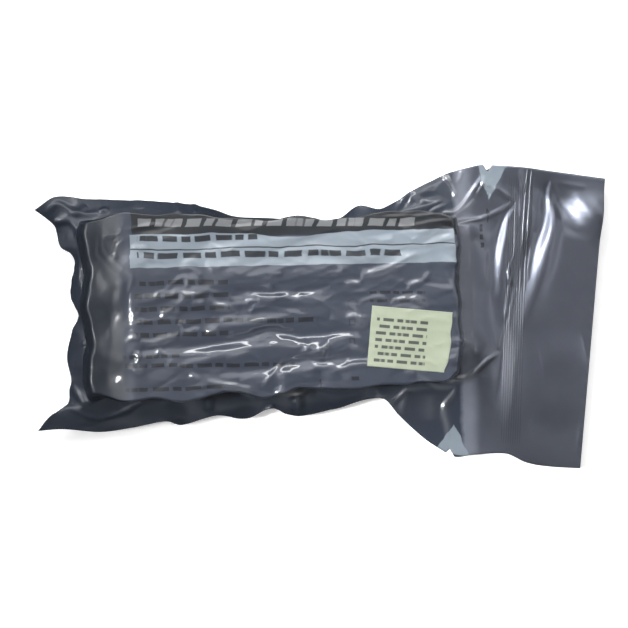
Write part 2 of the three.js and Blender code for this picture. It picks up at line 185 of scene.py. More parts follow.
tips = {"low": earTip("low", -1), "high": earTip("high", 1)}
corners = {
    "low": tailEdgePoint((1, 1, tailCornerDrop["low"]), -1),
    "high": tailEdgePoint((1, 1, tailCornerDrop["high"]), 1),
}
lowCurve = curveThrough(
    [tips["low"], *(sidePoint(r, -1) for r in lowEdge), *(tailEdgePoint(r, -1) for r in lowTailEdge),
     corners["low"]], 0)
highCurve = curveThrough(
    [tips["high"], *(sidePoint(r, 1) for r in highEdge), *(tailEdgePoint(r, 1) for r in highTailEdge),
     corners["high"]], 0)
endCurve = curveThrough(
    [tips["low"],
     *(seamPoint(-half - r[1] * margin, mix(-1, 1, r[0]) * pouch["widthAtEnd"] / 2, r[2])
       for r in endEdge),
     tips["high"]], 1)


def gridLines(first, middle, last, crowding):
    # patch and share of each grid line, crowded towards the walls in the middle patch
    even = np.arange(middle) / middle
    crowded = mix(even, (1 - np.cos(np.pi * even)) / 2, crowding)
    patch = np.concatenate([np.zeros(first), np.ones(middle), np.full(last + 1, 2)]).astype(int)
    share = np.concatenate([np.arange(first) / first, crowded, np.arange(last + 1) / last])
    return patch, share


def quiltSeam(columns, rows):
    footY = pouch["widthAtEnd"] / 2
    feet = [[np.array(seamPoint(e * half, s * footHalf(e * half, s), 0)) for e in (-1, 1)]
            for s in (-1, 1)]
    low, high = np.array(corners["low"]), np.array(corners["high"])
    reach = pouch["tailFootReach"]
    tailFeet = [mix(low, high, (1 + r) / 2) for r in (-reach, reach)]

    def between(a, b):
        return lambda s: mix(np.asarray(a), np.asarray(b), s[:, None])

    def stretch(curve, start, end):
        return lambda s: curve(mix(start, end, s))

    def footLine(side):
        def at(s):
            x = mix(-half, half, s)
            return np.stack([x, side * footHalf(x, side), np.full_like(x, pouch["seamHeight"])], 1)
        return at

    along = [
        [stretch(lowCurve, tips["low"][0], -half), stretch(lowCurve, -half, half),
         stretch(lowCurve, half, low[0])],
        *[[between(endCurve(side * footY)[0], feet[k][0]), footLine(side),
           between(feet[k][1], tailFeet[k])] for k, side in enumerate((-1, 1))],
        [stretch(highCurve, tips["high"][0], -half), stretch(highCurve, -half, half),
         stretch(highCurve, half, high[0])],
    ]
    across = [
        [stretch(endCurve, tips["low"][1], -footY), stretch(endCurve, -footY, footY),
         stretch(endCurve, footY, tips["high"][1])],
        *[[between(lowCurve(x)[0], feet[0][k]), between(feet[0][k], feet[1][k]),
           between(feet[1][k], highCurve(x)[0])] for k, x in enumerate((-half, half))],
        [between(low, tailFeet[0]), between(tailFeet[0], tailFeet[1]), between(tailFeet[1], high)],
    ]
    seam = np.zeros((len(columns[0]), len(rows[0]), 3))
    for c in range(3):
        for r in range(3):
            i = np.nonzero(columns[0] == c)[0]
            j = np.nonzero(rows[0] == r)[0]
            s, t = columns[1][i], rows[1][j]
            bottom, top = along[r][c](s)[:, None], along[r + 1][c](s)[:, None]
            left, right = across[c][r](t)[None], across[c + 1][r](t)[None]
            ends = np.array([0.0, 1.0])
            b, h = along[r][c](ends), along[r + 1][c](ends)
            s3, t3 = s[:, None, None], t[None, :, None]
            flat = mix(mix(b[0], b[1], s3), mix(h[0], h[1], s3), t3)
            seam[np.ix_(i, j)] = mix(bottom, top, t3) + mix(left, right, s3) - flat
    return seam


def waves(t, seed, longest):
    # a smooth uneven line between about -1 and 1
    rng = np.random.default_rng(seed)
    total, count = 0, 5
    for _ in range(count):
        length = longest * rng.uniform(0.3, 1)
        total = total + np.sin(2 * np.pi * (t / length + rng.random())) * length / longest
    return total / (0.4 * count)


def fullness(x, y):
    # 0 where the films are sealed together and 1 over the flat of the dressing
    inside = {"end": half + x, "tail": half - pouch["tailSetback"] - x,
              "low": footHalf(x, -1) + y, "high": footHalf(x, 1) - y}
    for name, (height, *wave) in pouch["uneven"].items():
        inside[name] = inside[name] + height * waves(y if name in ("end", "tail") else x, *wave)
    short = {name: 1 - np.clip(inside[name] / (run * pouch["height"]), 0, 1)
             for name, run in pouch["wallRun"].items()}
    along, across = (np.maximum(short[a], short[b]) for a, b in (("end", "tail"), ("low", "high")))
    corner = pouch["cornerRoundness"]
    both = np.clip((along**corner + across**corner) ** (1 / corner), 0, 1)
    total = sum(short.values()) + 1e-9
    power = sum(short[name] * pouch["wallRoundness"][name] for name in short) / total
    power = np.where(total > 1e-6, power, 2)
    wall = (1 - both**power) ** (1 / power)
    past = x - half + pouch["tailSetback"]
    beyond = np.clip((past + ramp["early"]) / ramp["length"], 0, 1)
    nearSide = np.minimum(inside["low"], inside["high"])
    slope = ramp["share"] * (1 - beyond) ** ramp["power"] * smoothStep(nearSide, *ramp["nearSide"])
    return np.where(past > -ramp["reach"], np.maximum(wall, slope), wall)


def leaned(x, y, full):
    # the plan with the top of the pack leaning out over its two long sides
    leaning = y.copy()
    alongPack = smoothStep(x, *(-half + near for near in lean["nearEnd"]))
    alongPack *= 1 - smoothStep(x, *(half - near for near in lean["nearTail"]))
    for name, side in (("low", -1), ("high", 1)):
        share = 1 - smoothStep(footHalf(x, side) - side * y, *lean["nearSide"])
        leaning += side * pouch["overhang"][name] * share * alongPack * full ** lean["power"]
    return leaning


def endDrop(x, y):
    # the film steps down to the thinner end of the dressing along an uneven line
    share = (x + half) / (2 * half) + endStep["drift"] * waves(y, *endStep["line"])
    depth = endStep["depth"] * (1 + endStep["change"] * waves(y, *endStep["swell"]))
    return depth * (1 - smoothStep(share, *endStep["along"]))


def relaxed(seam, full, rounds):
    # the sealed film settles to a smooth surface between its outer edge and the hollow's foot
    plan, z = seam[..., :2], seam[..., 2].copy()
    gapI = 1 / np.maximum(np.linalg.norm(np.diff(plan, axis=0), axis=2), 0.05)
    gapJ = 1 / np.maximum(np.linalg.norm(np.diff(plan, axis=1), axis=2), 0.05)
    free = full[1:-1, 1:-1] <= 0
    w = [gapI[:-1, 1:-1], gapI[1:, 1:-1], gapJ[1:-1, :-1], gapJ[1:-1, 1:]]
    total = sum(w)
    for _ in range(rounds):
        mean = (w[0] * z[:-2, 1:-1] + w[1] * z[2:, 1:-1] + w[2] * z[1:-1, :-2]
                + w[3] * z[1:-1, 2:]) / total
        z[1:-1, 1:-1] = np.where(free, mean, z[1:-1, 1:-1])
    seam[..., 2] = z
    return seam


def upward(grid):
    # unit normals of a grid of points
    n = np.cross(np.gradient(grid, axis=0), np.gradient(grid, axis=1))
    return n / np.maximum(np.linalg.norm(n, axis=2, keepdims=True), 1e-9)


# Creases seen on the film: width, height and points, in millimetres round the hollow
packFolds = [
    (2, -0.9, (-57.5, -17), (-47.5, -16.5), (-31.5, -16), (-13.5, -14), (-3, -11), (10, -14),
     (28, -12.5), (43.5, -11)),
    (3.2, 0.6, (-29, -10), (-13, -8.5), (9, -6.5), (27.5, -5)),
    (3.2, 0.6, (-56, -22), (-31.5, -22), (-3.5, -19), (21, -18.5), (35, -18)),
    (2.1, -0.7, (-24, -27), (-7.5, -27), (4.5, -24.5), (20.5, -23.5), (36.5, -24.5)),
    (4, 0.5, (-52, -28.5), (-20, -30), (16.5, -29.5), (48.5, -30)),
    (1.4, -0.5, (-18, 5.5), (-5.5, 4.5), (9.5, 4), (21.5, 5.5)),
    (3.4, 0.4, (-56, 12), (-30.5, 11.5), (10, 12), (34, 11.5)),
    (3, 0.4, (-56.5, 3), (-31, 0.5), (1.5, 0), (27.5, 0)),
    (1.7, -0.22, (-60.5, 16), (-59.5, 9), (-60, -1), (-60, -11), (-58.5, -17)),
    (2.5, 0.16, (-71, 3.5), (-69.5, -4.5), (-70, -16.5), (-73, -25.5)),
    (2.1, -0.25, (-66, 7.5), (-66, 1.5), (-67.5, -8.5), (-68.5, -14.5)),
    (2.4, 0.14, (-64.5, -17), (-62, -22), (-63.5, -27), (-67.5, -32)),
    (2.3, 0.3, (-72, 19), (-69, 11.5), (-66, 6.5)),
]
packCreases = [
    (0.7, 0.3, (-59.5, 6.5), (-58, 10.5), (-57, 12.5)),
    (0.6, 0.15, (-58, 7), (-58.5, 1), (-58, -5)),
    (0.6, 0.26, (-71, 29.5), (-71, 25.5), (-71.5, 23), (-69, 19), (-65.5, 15), (-62, 12.5)),
    (0.6, 0.26, (-69, 27.5), (-68.5, 23.5), (-66.5, 20.5), (-63, 17.5), (-60, 14.5), (-56, 12.5)),
    (0.7, 0.3, (-66.5, 20.5), (-65, 20), (-64, 22.5)),
    (0.7, 0.3, (-69, 29), (-65, 29.5), (-61, 30.5)),
    (1, 0.6, (-38.5, 14), (-36.5, 15), (-34.5, 15), (-32, 13.5), (-30, 11.5)),
    (0.8, 0.6, (-36.5, 12), (-35.5, 10), (-35, 7.5)),
    (0.7, 0.5, (-35.5, 10.5), (-32.5, 10.5), (-29.5, 9.5)),
    (1, 0.6, (-42, 5), (-39.5, 6), (-36.5, 4.5), (-33, 4.5), (-30.5, 5)),
    (0.9, 0.5, (-42.5, 2.5), (-40, 1), (-36.5, 3), (-34, 2.5)),
    (0.8, 0.6, (-34, 1.5), (-31, 1), (-29, 1.5)),
    (0.8, 0.6, (-26, 0), (-22, -0.5), (-18, -2), (-15.5, -4)),
    (0.7, 0.4, (-25, -1.5), (-21, -2), (-18, -3.5)),
    (0.9, 0.6, (-46.5, -4.5), (-44, -2.5), (-41, -2), (-39, -3.5)),
    (0.7, 0.5, (-46, -5.5), (-43, -5), (-40, -6)),
    (0.8, 0.5, (-39, -9.5), (-35, -10.5), (-33, -8.5)),
    (0.9, 0.7, (-28.5, -11.5), (-26, -10.5), (-23.5, -10.5)),
    (0.9, 0.8, (-55, -13), (-52, -14.5), (-47.5, -14), (-44, -13), (-40, -11.5)),
    (0.7, 0.5, (-49, -12.5), (-46, -12), (-41.5, -11.5)),
    (1, 0.7, (-61, -13.5), (-58.5, -12), (-56, -13.5)),
    (0.9, 0.3, (-69, -12.5), (-68, -10.5), (-68, -8)),
    (0.9, 0.8, (-58, -18), (-56, -20), (-57.5, -22)),
    (0.8, 0.8, (-59.5, -22.5), (-56.5, -23), (-53, -23)),
    (0.8, 0.8, (-60.5, -24), (-57, -25), (-54, -24.5)),
    (0.8, 0.6, (-59, -25.5), (-56.5, -26.5), (-54, -25.5)),
    (1, 0.3, (-66, -29.5), (-63.5, -29), (-61.5, -30)),
    (0.8, 0.6, (9, -16.5), (11, -17.5), (12.5, -19.5)),
    (1.1, 0.9, (13.5, -20), (16, -20), (19, -17.5), (20, -16.5)),
    (0.9, 0.7, (19, -18), (18.5, -21), (18.5, -23)),
    (0.8, 0.5, (11, -20.5), (14.5, -22), (18.5, -22)),
    (0.9, 0.7, (-36, -27.5), (-33.5, -29), (-32, -30)),
    (0.9, 0.9, (-29.5, -30.5), (-25.5, -31.5), (-18, -33), (-11, -34.5), (-9, -35.5)),
    (0.7, 0.5, (-26.5, -33), (-18, -35), (-11, -36)),
    (0.6, 0.6, (-7, -34), (-3.5, -29.5), (0.5, -25), (2.5, -22)),
    (1.1, 0.8, (-2, -36.5), (1.5, -36), (5.5, -37), (7, -39.5), (6.5, -41.5)),
    (1, 0.9, (34, 10), (39, 10.5), (45.5, 12.5), (51, 15), (57, 17.5)),
    (0.9, 0.6, (34.5, 8.5), (40.5, 9), (47, 11), (52.5, 13.5)),
    (0.9, 0.7, (28, 6.5), (31, 6.5), (34.5, 6)),
    (0.9, 0.7, (53, 4), (55.5, 5.5), (59.5, 6.5)),
    (0.9, 0.6, (33.5, -1), (37.5, 0), (41.5, 0.5), (45, -1.5)),
    (1, 0.9, (45.5, -2), (49, -1), (53.5, -0.5), (57.5, -2), (61, -4)),
    (0.8, 0.4, (47, -4), (51.5, -3), (57, -4.5)),
    (1, 0.8, (27.5, -7.5), (31, -6.5), (34, -9.5), (36.5, -10.5)),
    (0.8, 0.5, (29, -10), (32.5, -11), (35.5, -11)),
    (0.9, 0.6, (29, -20), (32, -20), (35, -21.5)),
    (0.9, 0.5, (12.5, -25.5), (15.5, -26), (19.5, -27)),
    (1, 0.9, (22, -28), (25.5, -27.5), (29.5, -26), (34.5, -26), (40.5, -27)),
    (0.9, 0.8, (48.5, -27), (52, -29), (54.5, -30)),
    (0.9, 0.6, (50.5, -30), (56, -29.5), (60, -30.5)),
    (0.8, 0.5, (-28, 17), (-25.5, 15.5), (-24.5, 13)),
    (0.8, 0.6, (-26, 25), (-24, 23.5), (-21, 22)),
    (0.9, 0.6, (-57, 25), (-54.5, 23.5), (-51.5, 24)),
    (0.8, 0.6, (-56, 18.5), (-54.5, 17.5), (-51.5, 18)),
    (1, 0.2, (-74, 27.5), (-75, 21.5), (-75, 14)),
    (0.5, 0.25, (-28.5, 8), (-14.5, 8.5), (3.5, 9)),
    (0.6, 0.3, (10, 10.5), (22, 9.5), (31, 11)),
    (0.5, 0.25, (-14.5, 3.5), (-2.5, 2.5), (9.5, 1)),
    (0.6, 0.3, (-18.5, -18), (-4, -17.5), (9, -18.5)),
    (0.6, 0.3, (-51.5, -19.5), (-35.5, -19.5), (-21.5, -18.5)),
    (0.8, 0.4, (-21.5, -22.5), (-17, -21), (-11.5, -19.5)),
]
tailFolds = [
    (1, 0.35, (114, 45.5), (120.5, 44), (128.5, 42.5)),
    (1.8, -0.4, (115.5, 29), (120.5, 26), (126, 24), (130, 22.5)),
    (3.9, 0.5, (76, 24.5), (80, 18), (83.5, 10.5), (86, 2)),
    (3.1, 0.5, (73, -9), (78.5, -13.5), (85, -18.5), (89.5, -23)),
    (2.3, -0.5, (93, -10), (91.5, -19), (90, -31), (88, -42.5), (87, -47.5)),
    (3.1, 0.5, (99, -19), (96.5, -31.5), (95, -43.5), (93.5, -52)),
    (7, 0.6, (107, -27.5), (115, -26), (125.5, -24)),
    (7.3, -0.6, (102, -52), (112, -56.5), (122, -58)),
    (3.1, 0.8, (52, 46.5), (58, 40), (63, 35)),
]
tailSlants = [
    ((1.1, 5.2, 6.4), (1.3, 0.62, 0.05), (114, 45.5), (113, 41), (113, 36.5), (113, 31.5),
     (111.5, 25), (108.5, 17.5), (106, 10.5), (103, 3), (100.5, -5), (98.5, -15)),
    ((0.8, 1.4, 1.8), (0.3, 0.35, 0.1), (115, 45), (117.5, 41.5), (120, 38.5)),
    ((1.0, 3.3, 3.6), (0.9, 0.56, 0.08), (98.5, 36), (95, 31), (93, 24), (91, 15.5), (90, 6),
     (89, -2.5), (88.5, -9.5)),
    ((1.2, 2.4, 1.6), (0.1, 0.22, 0.2), (83.5, 49), (88, 44.5), (93, 41), (98, 38)),
    ((1.6, 2.0, 1.6), (0.5, 0.5, 0.4), (57, 43), (54, 39.5), (51, 35.5)),
]
tailCreases = [
    (0.7, 0.6, (74.5, 29.5), (80.5, 30.5), (85.5, 31.5), (93, 34.5), (98, 37)),
    (0.9, 0.6, (84.5, 49), (86, 45.5), (90, 43.5), (95, 40.5), (98, 38)),
    (0.8, 0.8, (70, 49), (72.5, 47), (74.5, 43), (74, 40)),
    (0.7, 0.6, (50.5, 35), (56.5, 36), (63.5, 37.5), (68.5, 39)),
    (0.6, 0.5, (62.5, 34), (66.5, 36), (70.5, 37.5)),
    (0.6, 0.5, (56.5, 33), (61.5, 33), (65.5, 34.5)),
    (1.1, 1.1, (90, -23.5), (84.5, -27), (79, -32), (75, -34), (67, -34.5)),
    (0.8, 1, (72, -37.5), (70.5, -40.5), (67, -44.5), (66.5, -48), (67.5, -52.5), (68, -59)),
    (0.7, 0.55, (45, -43.5), (49, -40), (52, -37.5), (57, -37), (62, -37)),
    (0.8, 0.9, (67.5, 33), (70.5, 34), (73, 34), (76.5, 36), (79, 39), (82, 43), (85, 47)),
    (0.9, 0.8, (70.5, 30.5), (74.5, 33), (79, 36), (82, 39)),
    (0.7, 0.7, (83, 41.5), (85.5, 44.5), (86.5, 48)),
    (0.7, 0.6, (101, 50.5), (102, 46.5), (102.5, 41)),
    (0.6, 0.5, (99, 39.5), (99, 32), (98.5, 23), (97.5, 13)),
    (0.6, 0.5, (101, 40.5), (100.5, 32.5), (99.5, 23.5), (98, 15.5)),
    (0.6, 0.6, (96.5, 14), (95, 9), (95.5, 4), (94.5, 1)),
    (0.6, 0.6, (95, 10.5), (95.5, 6), (96.5, 3)),
    (0.7, 0.7, (95, 2.5), (94, -3.5), (93, -10)),
    (0.6, 0.5, (97.5, 1.5), (96, -4.5), (94.5, -13)),
    (0.8, 0.6, (106.5, 25), (105.5, 19.5), (104, 13), (102.5, 4.5)),
    (0.8, 0.6, (67, -34), (71.5, -33.5), (75.5, -34)),
    (0.9, 0.8, (55, -30.5), (60, -34), (64.5, -36.5), (70.5, -37), (72, -38)),
    (1.5, 0.5, (52, -38.5), (50.5, -42.5), (49.5, -47.5)),
    (3.1, 0.45, (61.5, -39.5), (61.5, -44), (61, -50.5)),
    (0.8, 0.5, (91, -14.5), (90, -20), (90, -23)),
    (1.5, 0.4, (75.5, -14), (77.5, -19), (80, -25)),
]
marginFolds = [
    (1.4, 0.7, (-93.5, 40), (-89, 43.5), (-83.5, 40.5), (-78, 39), (-71.5, 39.5)),
    (1.4, 0.7, (-90.5, 36), (-86.5, 37), (-82.5, 36), (-80, 31), (-80, 24.5)),
    (1.2, -0.6, (-80.5, 29.5), (-80, 22), (-78.5, 12), (-77, 1.5), (-76.5, -5.5), (-78.5, -13)),
    (1.3, 0.6, (-90.5, -40.5), (-86.5, -40), (-81.5, -42), (-77.5, -44), (-73, -44.5)),
    (1.3, 0.7, (-83, -40.5), (-77.5, -37), (-71.5, -33), (-66.5, -29.5)),
    (1.5, 0.7, (-85.5, -31), (-83, -34.5), (-80, -38)),
    (1, 0.5, (-77.5, -44.5), (-72, -44), (-64.5, -42), (-58, -39), (-53, -37)),
    (1.1, 0.8, (-80, -13.5), (-80, -13.5), (-79, -14.5)),
    (1.1, 0.9, (-79.5, -28), (-79, -29), (-78.5, -30)),
    (1.5, 0.4, (-67.5, -40), (-63.5, -41.5), (-60.5, -40.5)),
    (1.7, 0.8, (-30.5, -37), (-29.5, -39.5), (-30, -43)),
    (3.4, 0.9, (-47.5, -38), (-46.5, -43), (-46, -48)),
    (4.7, 0.9, (-16.5, -37.5), (-18.5, -41.5), (-20.5, -46)),
    (2, 0.8, (6, -39.5), (7, -42), (6, -45)),
    (4.7, 0.8, (24.5, -37), (23.5, -41), (21.5, -45)),
    (3, 0.6, (39, -33), (40.5, -37.5), (42, -40.5)),
    (1.4, 0.7, (-40, 43.5), (-39.5, 41), (-39.5, 38)),
    (1.3, 0.9, (-33, 42), (-32.5, 39.5), (-33, 37)),
    (1.5, 0.5, (-77, 42.5), (-79.5, 40.5), (-83, 39.5)),
    (1.1, 0.7, (-71.5, 39.5), (-69, 40.5), (-69.5, 39)),
]


def smoothLine(points, step=1.0):
    # more points on a smooth curve through the given ones
    points = np.array(points, float)
    ext = np.vstack([2 * points[0] - points[1], points, 2 * points[-1] - points[-2]])
    out = []
    for k in range(1, len(ext) - 2):
        a, b, c, d = ext[k - 1: k + 3]
        count = max(int(np.hypot(*(c - b)) / step), 1)
        for t in np.arange(count) / count:
            curve = 2 * b + (c - a) * t + (2 * a - 5 * b + 4 * c - d) * t**2
            out.append(0.5 * (curve + (3 * b - 3 * c + d - a) * t**3))
    out.append(points[-1])
    return np.array(out)


def nearLine(px, py, points):
    # for each place its distance from the line, the share along it, and -1 or 1 for its side
    line = smoothLine(points)
    best, place = np.full(px.shape, 1e9), np.zeros(px.shape)
    side = np.zeros(px.shape)
    for k, (a, b) in enumerate(zip(line[:-1], line[1:])):
        run = b - a
        t = np.clip(((px - a[0]) * run[0] + (py - a[1]) * run[1]) / max(run @ run, 1e-9), 0, 1)
        d = np.hypot(px - a[0] - t * run[0], py - a[1] - t * run[1])
        closer = d < best
        best = np.where(closer, d, best)
        place = np.where(closer, (k + t) / (len(line) - 1), place)
        turn = run[0] * (py - a[1]) - run[1] * (px - a[0])
        side = np.where(closer, np.sign(turn), side)
    return best, place, side


def boxRound(x, y, points, reach):
    low, high = np.min(points, 0) - reach, np.max(points, 0) + reach
    return (x > low[0]) & (x < high[0]) & (y > low[1]) & (y < high[1])


def creaseHeights(x, y, creases, sharpness):
    # each crease is its width, or its widths left and right, its height and its points
    total = np.zeros_like(x)
    for width, height, *points in creases:
        left, right = width if isinstance(width, tuple) else (width, width)
        near = boxRound(x, y, points, 2.8 * max(left, right))
        far, place, side = nearLine(x[near], y[near], points)
        faded = np.sqrt(np.clip(4 * place * (1 - place), 0, 1))
        spread = np.where(side > 0, left, right) * mix(0.75, 1, faded)
        total[near] += height * faded * np.exp(-((far / spread) ** sharpness))
    return total


def slantHeights(x, y, slants):
    # strips of film that lean sideways: widths and slopes at start, middle and end, and points
    total = np.zeros_like(x)
    for widths, slopes, *points in slants:
        near = boxRound(x, y, points, 2.5 * max(widths))
        far, place, side = nearLine(x[near], y[near], points)
        faded = np.clip(4 * place * (1 - place), 0, 1) ** 0.35
        width, slope = (np.interp(place, (0, 0.5, 1), values) for values in (widths, slopes))
        total[near] += slope * faded * far * side * np.exp(-((far / width) ** 2))
    return total


def leaningPatches(x, y, patches):
    # soft oval patches that lean: middle, half lengths, direction in degrees, slope along x and y
    total = np.zeros_like(x)
    for middle, (long, short), angle, (slopeX, slopeY) in patches:
        dx, dy = x - middle[0], y - middle[1]
        c, s = math.cos(math.radians(angle)), math.sin(math.radians(angle))
        far = ((dx * c + dy * s) / long) ** 2 + ((dy * c - dx * s) / short) ** 2
        total += (dx * slopeX + dy * slopeY) * np.exp(-far)
    return total


def scatteredCreases(patch):
    # short curved creases over a box of the film, most of them along one direction
    rng = np.random.default_rng(patch["seed"])
    creases = []
    for _ in range(patch["count"]):
        x, y = rng.uniform(*patch["x"]), rng.uniform(*patch["y"])
        angle = math.radians(patch["angle"] + rng.normal(0, patch["spread"]))
        bend = math.radians(rng.normal(0, patch["bend"]))
        length, width = rng.uniform(*patch["length"]), rng.uniform(*patch["width"])
        height = rng.uniform(*patch["height"]) * (1 if rng.random() < patch["ridges"] else -0.8)
        points = []
        for k in range(5):
            points.append((x, y))
            x += math.cos(angle) * length / 4
            y += math.sin(angle) * length / 4
            angle += bend / 4
        creases.append((width, height, *points))
    return creases


def patch(seed, count, x, y, angle, spread, bend, length, width, height, ridges=0.6):
    return {"seed": seed, "count": count, "x": x, "y": y, "angle": angle, "spread": spread,
            "bend": bend, "length": length, "width": width, "height": height, "ridges": ridges}


tailPatches = [
    ((124.5, 34.0), (13.0, 6.6), -28, (0.60, 0.05)),
    ((62.5, 42.0), (3.4, 2.2), 20, (0.0, 0.4)),
    ((92.0, 20.0), (6.0, 12.0), 0, (0.10, 0.0)),
]

# Boxes of the film with creases strewn over them: count, place, direction in degrees, size
scattered = {
    "panelSoft": patch(3, 60, (-60, 66), (-32, 32), 2, 9, 14, (22, 60), (1.4, 3.0), (0.1, 0.32), 0.5),
    "panelFine": patch(5, 300, (-62, 72), (-36, 34), 2, 12, 24, (7, 30), (0.6, 1.1), (0.08, 0.26)),
    "panelKnots": patch(8, 70, (-60, 66), (-32, 26), 20, 60, 100, (3, 7), (0.7, 1.1), (0.15, 0.42), 0.7),
    "endSoft": patch(11, 44, (-77, -60), (-34, 32), 70, 50, 50, (4, 13), (1.4, 2.6), (0.06, 0.18), 0.5),
    "endFine": patch(12, 50, (-78, -60), (-34, 30), 80, 45, 50, (4, 11), (0.7, 1.1), (0.04, 0.15)),
    "lowWall": patch(13, 26, (-76, 64), (-38, -30), 88, 22, 30, (5, 11), (1.6, 3.0), (0.15, 0.45), 0.4),
    "tailWall": patch(14, 24, (66, 72), (-34, 32), 6, 26, 30, (5, 11), (1.0, 1.8), (0.15, 0.4), 0.5),
    "shoulder": patch(15, 46, (40, 84), (36, 52), 30, 50, 50, (4, 11), (0.8, 1.6), (0.06, 0.3)),
    "tailSoft": patch(17, 26, (78, 100), (-55, 45), 96, 24, 20, (14, 34), (2.0, 4.0), (0.06, 0.2), 0.5),
    "flapSoft": patch(18, 8, (110, 128), (-60, 30), 96, 18, 12, (24, 50), (5.0, 8.0), (0.06, 0.2), 0.5),
    "sealCrinkles": patch(19, 30, (97, 102), (-20, 48), 92, 8, 14, (4, 13), (0.6, 0.9), (0.03, 0.1)),
    "lowMargin": patch(21, 20, (-84, 42), (-49, -40), 88, 20, 14, (5, 10), (2.2, 4.0), (0.1, 0.4), 0.5),
    "highMargin": patch(22, 24, (-84, 30), (38, 44), 88, 24, 20, (4, 8), (1.2, 2.4), (0.06, 0.28)),
    "endMargin": patch(23, 30, (-90, -82), (-40, 38), 10, 30, 20, (4, 8), (1.1, 2.2), (0.06, 0.3)),
}


# How the creases are cut, and over which fullness the seam's fade out and the pack's come in
reliefSizes = {
    "soft": 2.0,
    "crisp": 1.4,
    "foldGain": 1.3,
    "sealed": (0.0, 0.4),
    "drawn": (0.05, 0.55),
    "calm": (0.5, -66, -54),  # share kept at the closed end, and where it changes to the whole
    "uneven": 0.55,
    "along": (41, 60),  # seed and longest wave
    "across": (42, 26),
    "shear": 0.4,
}


def strewn(x, y, kind, *names):
    sharpness = reliefSizes[kind]
    return sum(creaseHeights(x, y, scatteredCreases(scattered[name]), sharpness) for name in names)


def seamRelief(x, y, full):
    # shared by both films where they are sealed together
    size = reliefSizes
    relief = creaseHeights(x, y, marginFolds + tailFolds, size["soft"])
    relief += strewn(x, y, "soft", "lowMargin", "highMargin", "endMargin", "tailSoft", "flapSoft")
    relief += slantHeights(x, y, tailSlants) + leaningPatches(x, y, tailPatches)
    relief += creaseHeights(x, y, tailCreases, size["crisp"])
    relief += strewn(x, y, "crisp", "shoulder", "sealCrinkles")
    return relief * (1 - smoothStep(full, *size["sealed"]))


def packRelief(x, y, full):
    # what the dressing's folds and the drawn film do to the front of the pack
    size = reliefSizes
    relief = size["foldGain"] * creaseHeights(x, y, packFolds, size["soft"])
    relief += strewn(x, y, "soft", "panelSoft", "endSoft", "lowWall", "tailWall")
    relief += creaseHeights(x, y, packCreases, size["crisp"])
    relief += strewn(x, y, "crisp", "panelFine", "panelKnots", "endFine")
    sheared = waves(x + size["shear"] * y, *size["along"])
    relief += size["uneven"] * sheared * waves(y, *size["across"])
    kept, *change = size["calm"]
    return relief * mix(kept, 1, smoothStep(x, *change)) * smoothStep(full, *size["drawn"])


def notched(seam):
    # pull the edge's points in to the sides of each tear notch
    for station, side in notches:
        x0 = tailPlan(station, side)[0]
        edge = seam[:, -1 if side > 0 else 0]
        share = 1 - np.abs(edge[:, 0] - x0) / (notchSize["width"] / 2)
        depth = notchSize["depth"] * np.clip(share, 0, 1)
        for k, follow in enumerate(notchSize["follow"]):
            seam[:, -1 - k if side > 0 else k, 1] -= side * depth * follow
    return seam


def deepestNear(values, reach):
    # the least of the values around each point
    for axis in (0, 1):
        wide = np.pad(values, [(reach, reach) if k == axis else (0, 0) for k in (0, 1)], mode="edge")
        count = values.shape[axis]
        values = np.min([np.take(wide, range(k, k + count), axis) for k in range(2 * reach + 1)], 0)
    return values


def filmGrids(columns, rows):
    # the outer faces of the front and the plainer back film, with the plan and the fullness
    seam = notched(quiltSeam(columns, rows))
    x, y = seam[..., 0].copy(), seam[..., 1].copy()
    full = fullness(x, y)
    seam = relaxed(seam, full, pouch["settling"])
    relief = seamRelief(x, y, full)
    sealed = seam + upward(seam) * relief[..., None]
    outwards = pouch["seamGap"] / 2 + pouch["filmThickness"]
    front = sealed + upward(sealed) * outwards
    rise = pouch["height"] - pouch["seamHeight"] - outwards - endDrop(x, y)
    front[..., 2] += full * rise
    leaning = leaned(x, y, full)
    front[..., 1] += leaning - y
    front += upward(front) * packRelief(x, leaning, full)[..., None]
    back = seam + upward(seam) * (deepestNear(relief, coarse) - outwards)[..., None]
    back[..., 2] -= np.where(x < half, full, 0) * back[..., 2]
    return x, leaning, full, front, back[::coarse, ::coarse]


def gridQuads(n, m):
    i, j = np.meshgrid(np.arange(n - 1), np.arange(m - 1), indexing="ij")
    corners = [i * m + j, (i + 1) * m + j, (i + 1) * m + j + 1, i * m + j + 1]
    return np.stack(corners, -1).reshape(-1, 4)


def closedSkin(outer, inner, step):
    # a closed shell: a fine outer face, a plainer inner face, and the rim between them
    n, m = outer.shape[:2]
    a, b = inner.shape[:2]
    verts = np.concatenate([outer.reshape(-1, 3), inner.reshape(-1, 3)])

    def fine(i, j):
        return i * m + j

    def plain(i, j):
        return n * m + i * b + j

    turned = gridQuads(a, b)[:, [0, 3, 2, 1]] + n * m
    quads = np.concatenate([gridQuads(n, m), turned])

    def rimOf(n, m):
        return ([(k, 0) for k in range(n - 1)] + [(n - 1, k) for k in range(m - 1)]
                + [(k, m - 1) for k in range(n - 1, 0, -1)] + [(0, k) for k in range(m - 1, 0, -1)])

    fineRim, plainRim, rim = rimOf(n, m), rimOf(a, b), []
    middle = step // 2
    for k in range(len(plainRim)):
        p, q = plain(*plainRim[k]), plain(*plainRim[(k + 1) % len(plainRim)])
        f = [fine(*fineRim[(k * step + s) % len(fineRim)]) for s in range(step + 1)]
        for s in range(step):
            rim.append((f[s + 1], f[s], p if s <= middle else q))
            if s == middle:
                rim.append((f[s + 1], p, q))
    return verts, quads, np.array(rim)


